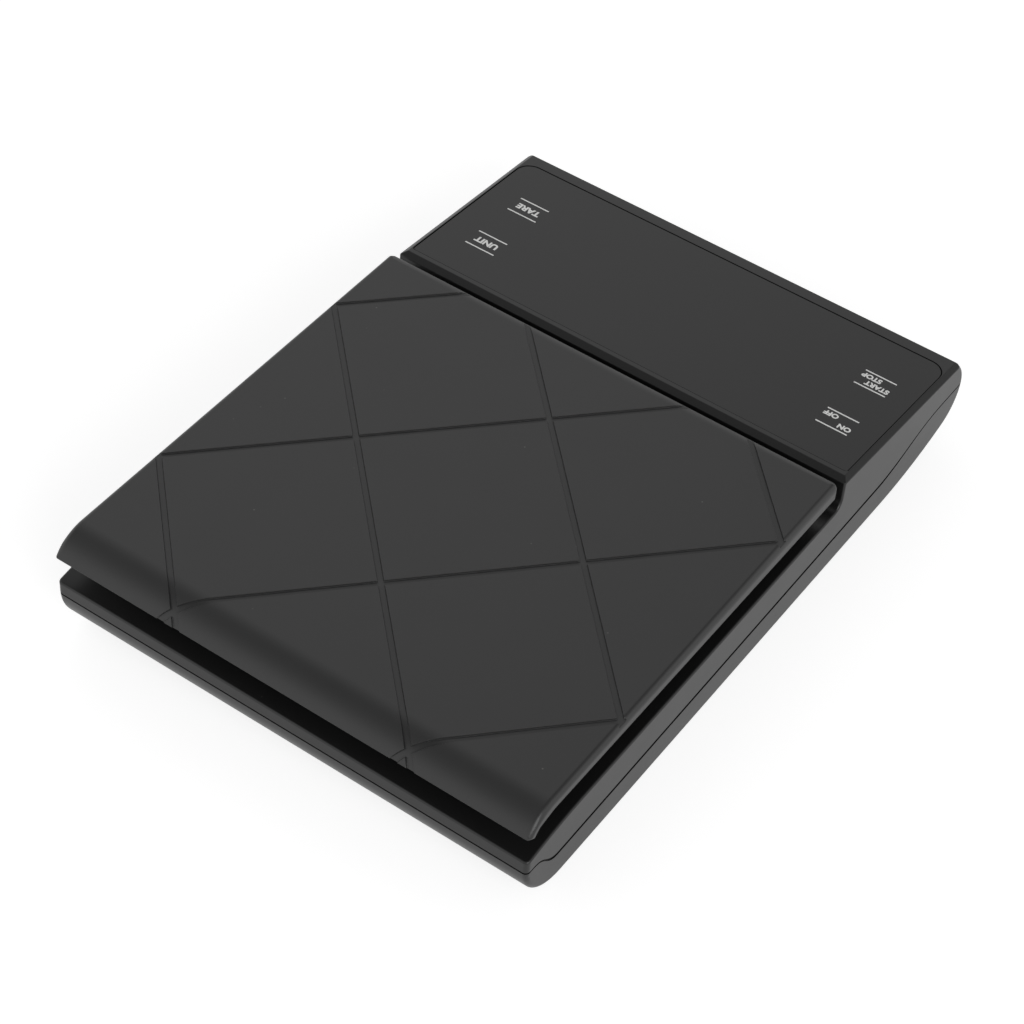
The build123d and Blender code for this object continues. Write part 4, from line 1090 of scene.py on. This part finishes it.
class SCALE_OT_labels(bpy.types.Operator):
    """Printed key labels on the display film"""

    bl_idname = "gram_scale.labels"
    bl_label = "Key labels"

    def execute(self, context):
        sizes = context.scene.scale_labels
        ink = plastic("label_ink", context.scene.scale_finish.ink, roughness=0.5, strength=0.1)
        left, right = sizes.shift_x - sizes.key_x, sizes.shift_x + sizes.key_x
        keys = (
            ("tare", right, sizes.front_y, (("TARE", 0),)),
            ("unit", right, sizes.rear_y, (("UNIT", 0),)),
            ("start_stop", left, sizes.front_y, (("START", -1), ("STOP", 1))),
            ("on_off", left, sizes.rear_y, (("ON", -1), ("OFF", 1))),
        )
        for name, x, y, rows in keys:
            self.add_lines(name, x, y, sizes, ink)
            self.add_words(x, y, rows, sizes, ink)
        return {"FINISHED"}

    def add_lines(self, name, x, y, sizes, ink):
        """The two printed lines of one key."""
        for side, word in ((-1, "front"), (1, "rear")):
            mesh = bpy.data.meshes.new(f"line_{name}_{word}")
            shape = bmesh.new()
            bmesh.ops.create_cube(shape, size=1.0)
            size = (sizes.line_length, sizes.line_width, sizes.ink_thickness)
            bmesh.ops.scale(shape, vec=size, verts=shape.verts)
            shape.to_mesh(mesh)
            shape.free()
            line = link_piece(mesh.name, mesh, "base", ink)
            line.matrix_world = film_matrix(x, y + side * sizes.line_gap / 2, sizes.ink_thickness / 2)

    def add_words(self, x, y, rows, sizes, ink):
        """One or two words of one key; the words of a pair stand at opposite ends of two rows."""
        is_pair = len(rows) > 1
        height = sizes.pair_letter_height if is_pair else sizes.letter_height
        row_gap = sizes.row_gap if is_pair else 0.0
        for word, side in rows:
            curve = bpy.data.curves.new(word, "FONT")
            curve.body = word
            curve.size = 1.0
            curve.offset = sizes.weight
            curve.extrude = LETTER_EXTRUDE
            curve.align_x = "CENTER"
            letter = bpy.data.objects.new(word, curve)
            bpy.context.scene.collection.objects.link(letter)
            bpy.context.view_layer.update()
            graph = bpy.context.evaluated_depsgraph_get()
            mesh = bpy.data.meshes.new_from_object(letter.evaluated_get(graph))
            bpy.data.objects.remove(letter)
            mesh.materials.clear()
            mesh.name = f"word_{word.lower()}"
            xs = [vertex.co.x for vertex in mesh.vertices]
            ys = [vertex.co.y for vertex in mesh.vertices]
            scale = height / (max(ys) - min(ys))
            middle = Vector(((max(xs) + min(xs)) / 2, (max(ys) + min(ys)) / 2, 0))
            half = (max(xs) - min(xs)) / 2 * scale
            stretch = Matrix.Diagonal((scale, scale, sizes.ink_thickness / (2 * LETTER_EXTRUDE), 1))
            mesh.transform(stretch @ Matrix.Translation(-middle))
            shift = side * (sizes.line_length / 2 - half)
            piece = link_piece(mesh.name, mesh, "base", ink)
            piece.matrix_world = film_matrix(x + shift, y - side * row_gap / 2, sizes.ink_thickness / 2)


class SCALE_OT_electronics(bpy.types.Operator):
    """Circuit board, display module, key springs, chips, buzzer, sockets and leads"""

    bl_idname = "gram_scale.electronics"
    bl_label = "Electronics"

    def execute(self, context):
        paint(plastic("circuit_board", (0.02, 0.13, 0.05), roughness=0.35, strength=0.1), "main_board")
        paint(plastic("light_frame", (0.8, 0.8, 0.78), roughness=0.5), "display_module")
        paint(plastic("diffuser", (0.6, 0.6, 0.6), roughness=0.6), "display_diffuser")
        resin = plastic("chip_resin", (0.03, 0.03, 0.03), roughness=0.6, strength=0.4)
        paint(resin, "board_chips", "buzzer")
        paint(plastic("socket_plastic", (0.8, 0.77, 0.68), roughness=0.5), "lead_sockets")
        paint(steel(), "board_screws")
        paint(spring_steel(), "key_springs")
        jacket = plastic("lead_jacket", (0.45, 0.45, 0.45), roughness=0.5)
        paint(jacket, "load_cell_lead", "battery_lead")
        return {"FINISHED"}


class SCALE_OT_mechanism(bpy.types.Operator):
    """Load cell, spacers, screws, carrier, pads and overload stop"""

    bl_idname = "gram_scale.mechanism"
    bl_label = "Weighing mechanism"

    def execute(self, context):
        milled = metal("milled_aluminium", (0.78, 0.78, 0.8), roughness=0.34, grain=1500.0, strength=0.2)
        paint(milled, "load_cell", "load_cell_free_end")
        paint(steel(), "load_cell_spacer", "carrier_spacer", "overload_stop")
        paint(steel(), "load_cell_screws", "carrier_screws")
        paint(plastic("silicone", (0.85, 0.85, 0.83), roughness=0.55, strength=0.3), "gauge_covers")
        paint(plastic("carrier_plastic", (0.03, 0.03, 0.032), roughness=0.45), "platform_carrier")
        paint(rubber(context), "platform_pads")
        return {"FINISHED"}


class SCALE_OT_battery(bpy.types.Operator):
    """Cells, contacts and springs"""

    bl_idname = "gram_scale.battery"
    bl_label = "Battery bay"

    def execute(self, context):
        sleeve = plastic("cell_sleeve", (0.08, 0.09, 0.1), roughness=0.25, strength=0.05)
        paint(sleeve, "battery_cells")
        paint(metal("contact_metal", (0.72, 0.7, 0.66), roughness=0.22), "battery_contacts")
        paint(spring_steel(), "battery_springs")
        return {"FINISHED"}


class SCALE_OT_underside(bpy.types.Operator):
    """Casing screws and rubber feet"""

    bl_idname = "gram_scale.underside"
    bl_label = "Screws and feet"

    def execute(self, context):
        paint(steel(), "casing_screws")
        paint(rubber(context), "rubber_feet")
        return {"FINISHED"}


OPERATORS = (
    SCALE_OT_studio,
    SCALE_OT_casings,
    SCALE_OT_platform,
    SCALE_OT_window,
    SCALE_OT_labels,
    SCALE_OT_electronics,
    SCALE_OT_mechanism,
    SCALE_OT_battery,
    SCALE_OT_underside,
)


class SCALE_PT_panel(bpy.types.Panel):
    """Buttons and settings of the scale"""

    bl_idname = "SCALE_PT_panel"
    bl_label = "Gram Scale"
    bl_space_type = "VIEW_3D"
    bl_region_type = "UI"
    bl_category = "Gram Scale"

    def draw(self, context):
        for operator in OPERATORS:
            self.layout.operator(operator.bl_idname)
        for name, kind in GROUPS:
            box = self.layout.box()
            box.label(text=kind.__doc__)
            group = getattr(context.scene, name)
            for key in kind.__annotations__:
                box.prop(group, key)


def register():
    """Registers the settings, operators and panel."""
    for name, kind in GROUPS:
        bpy.utils.register_class(kind)
        setattr(bpy.types.Scene, name, PointerProperty(type=kind))
    for operator in OPERATORS:
        bpy.utils.register_class(operator)
    bpy.utils.register_class(SCALE_PT_panel)


def unregister():
    """Removes the panel, operators and settings."""
    bpy.utils.unregister_class(SCALE_PT_panel)
    for operator in reversed(OPERATORS):
        bpy.utils.unregister_class(operator)
    for name, kind in reversed(GROUPS):
        delattr(bpy.types.Scene, name)
        bpy.utils.unregister_class(kind)


def main():
    """Builds everything, in order."""
    register()
    for operator in OPERATORS:
        group, name = operator.bl_idname.split(".")
        getattr(getattr(bpy.ops, group), name)()
    bpy.context.view_layer.update()


if __name__ == "__main__":
    main()
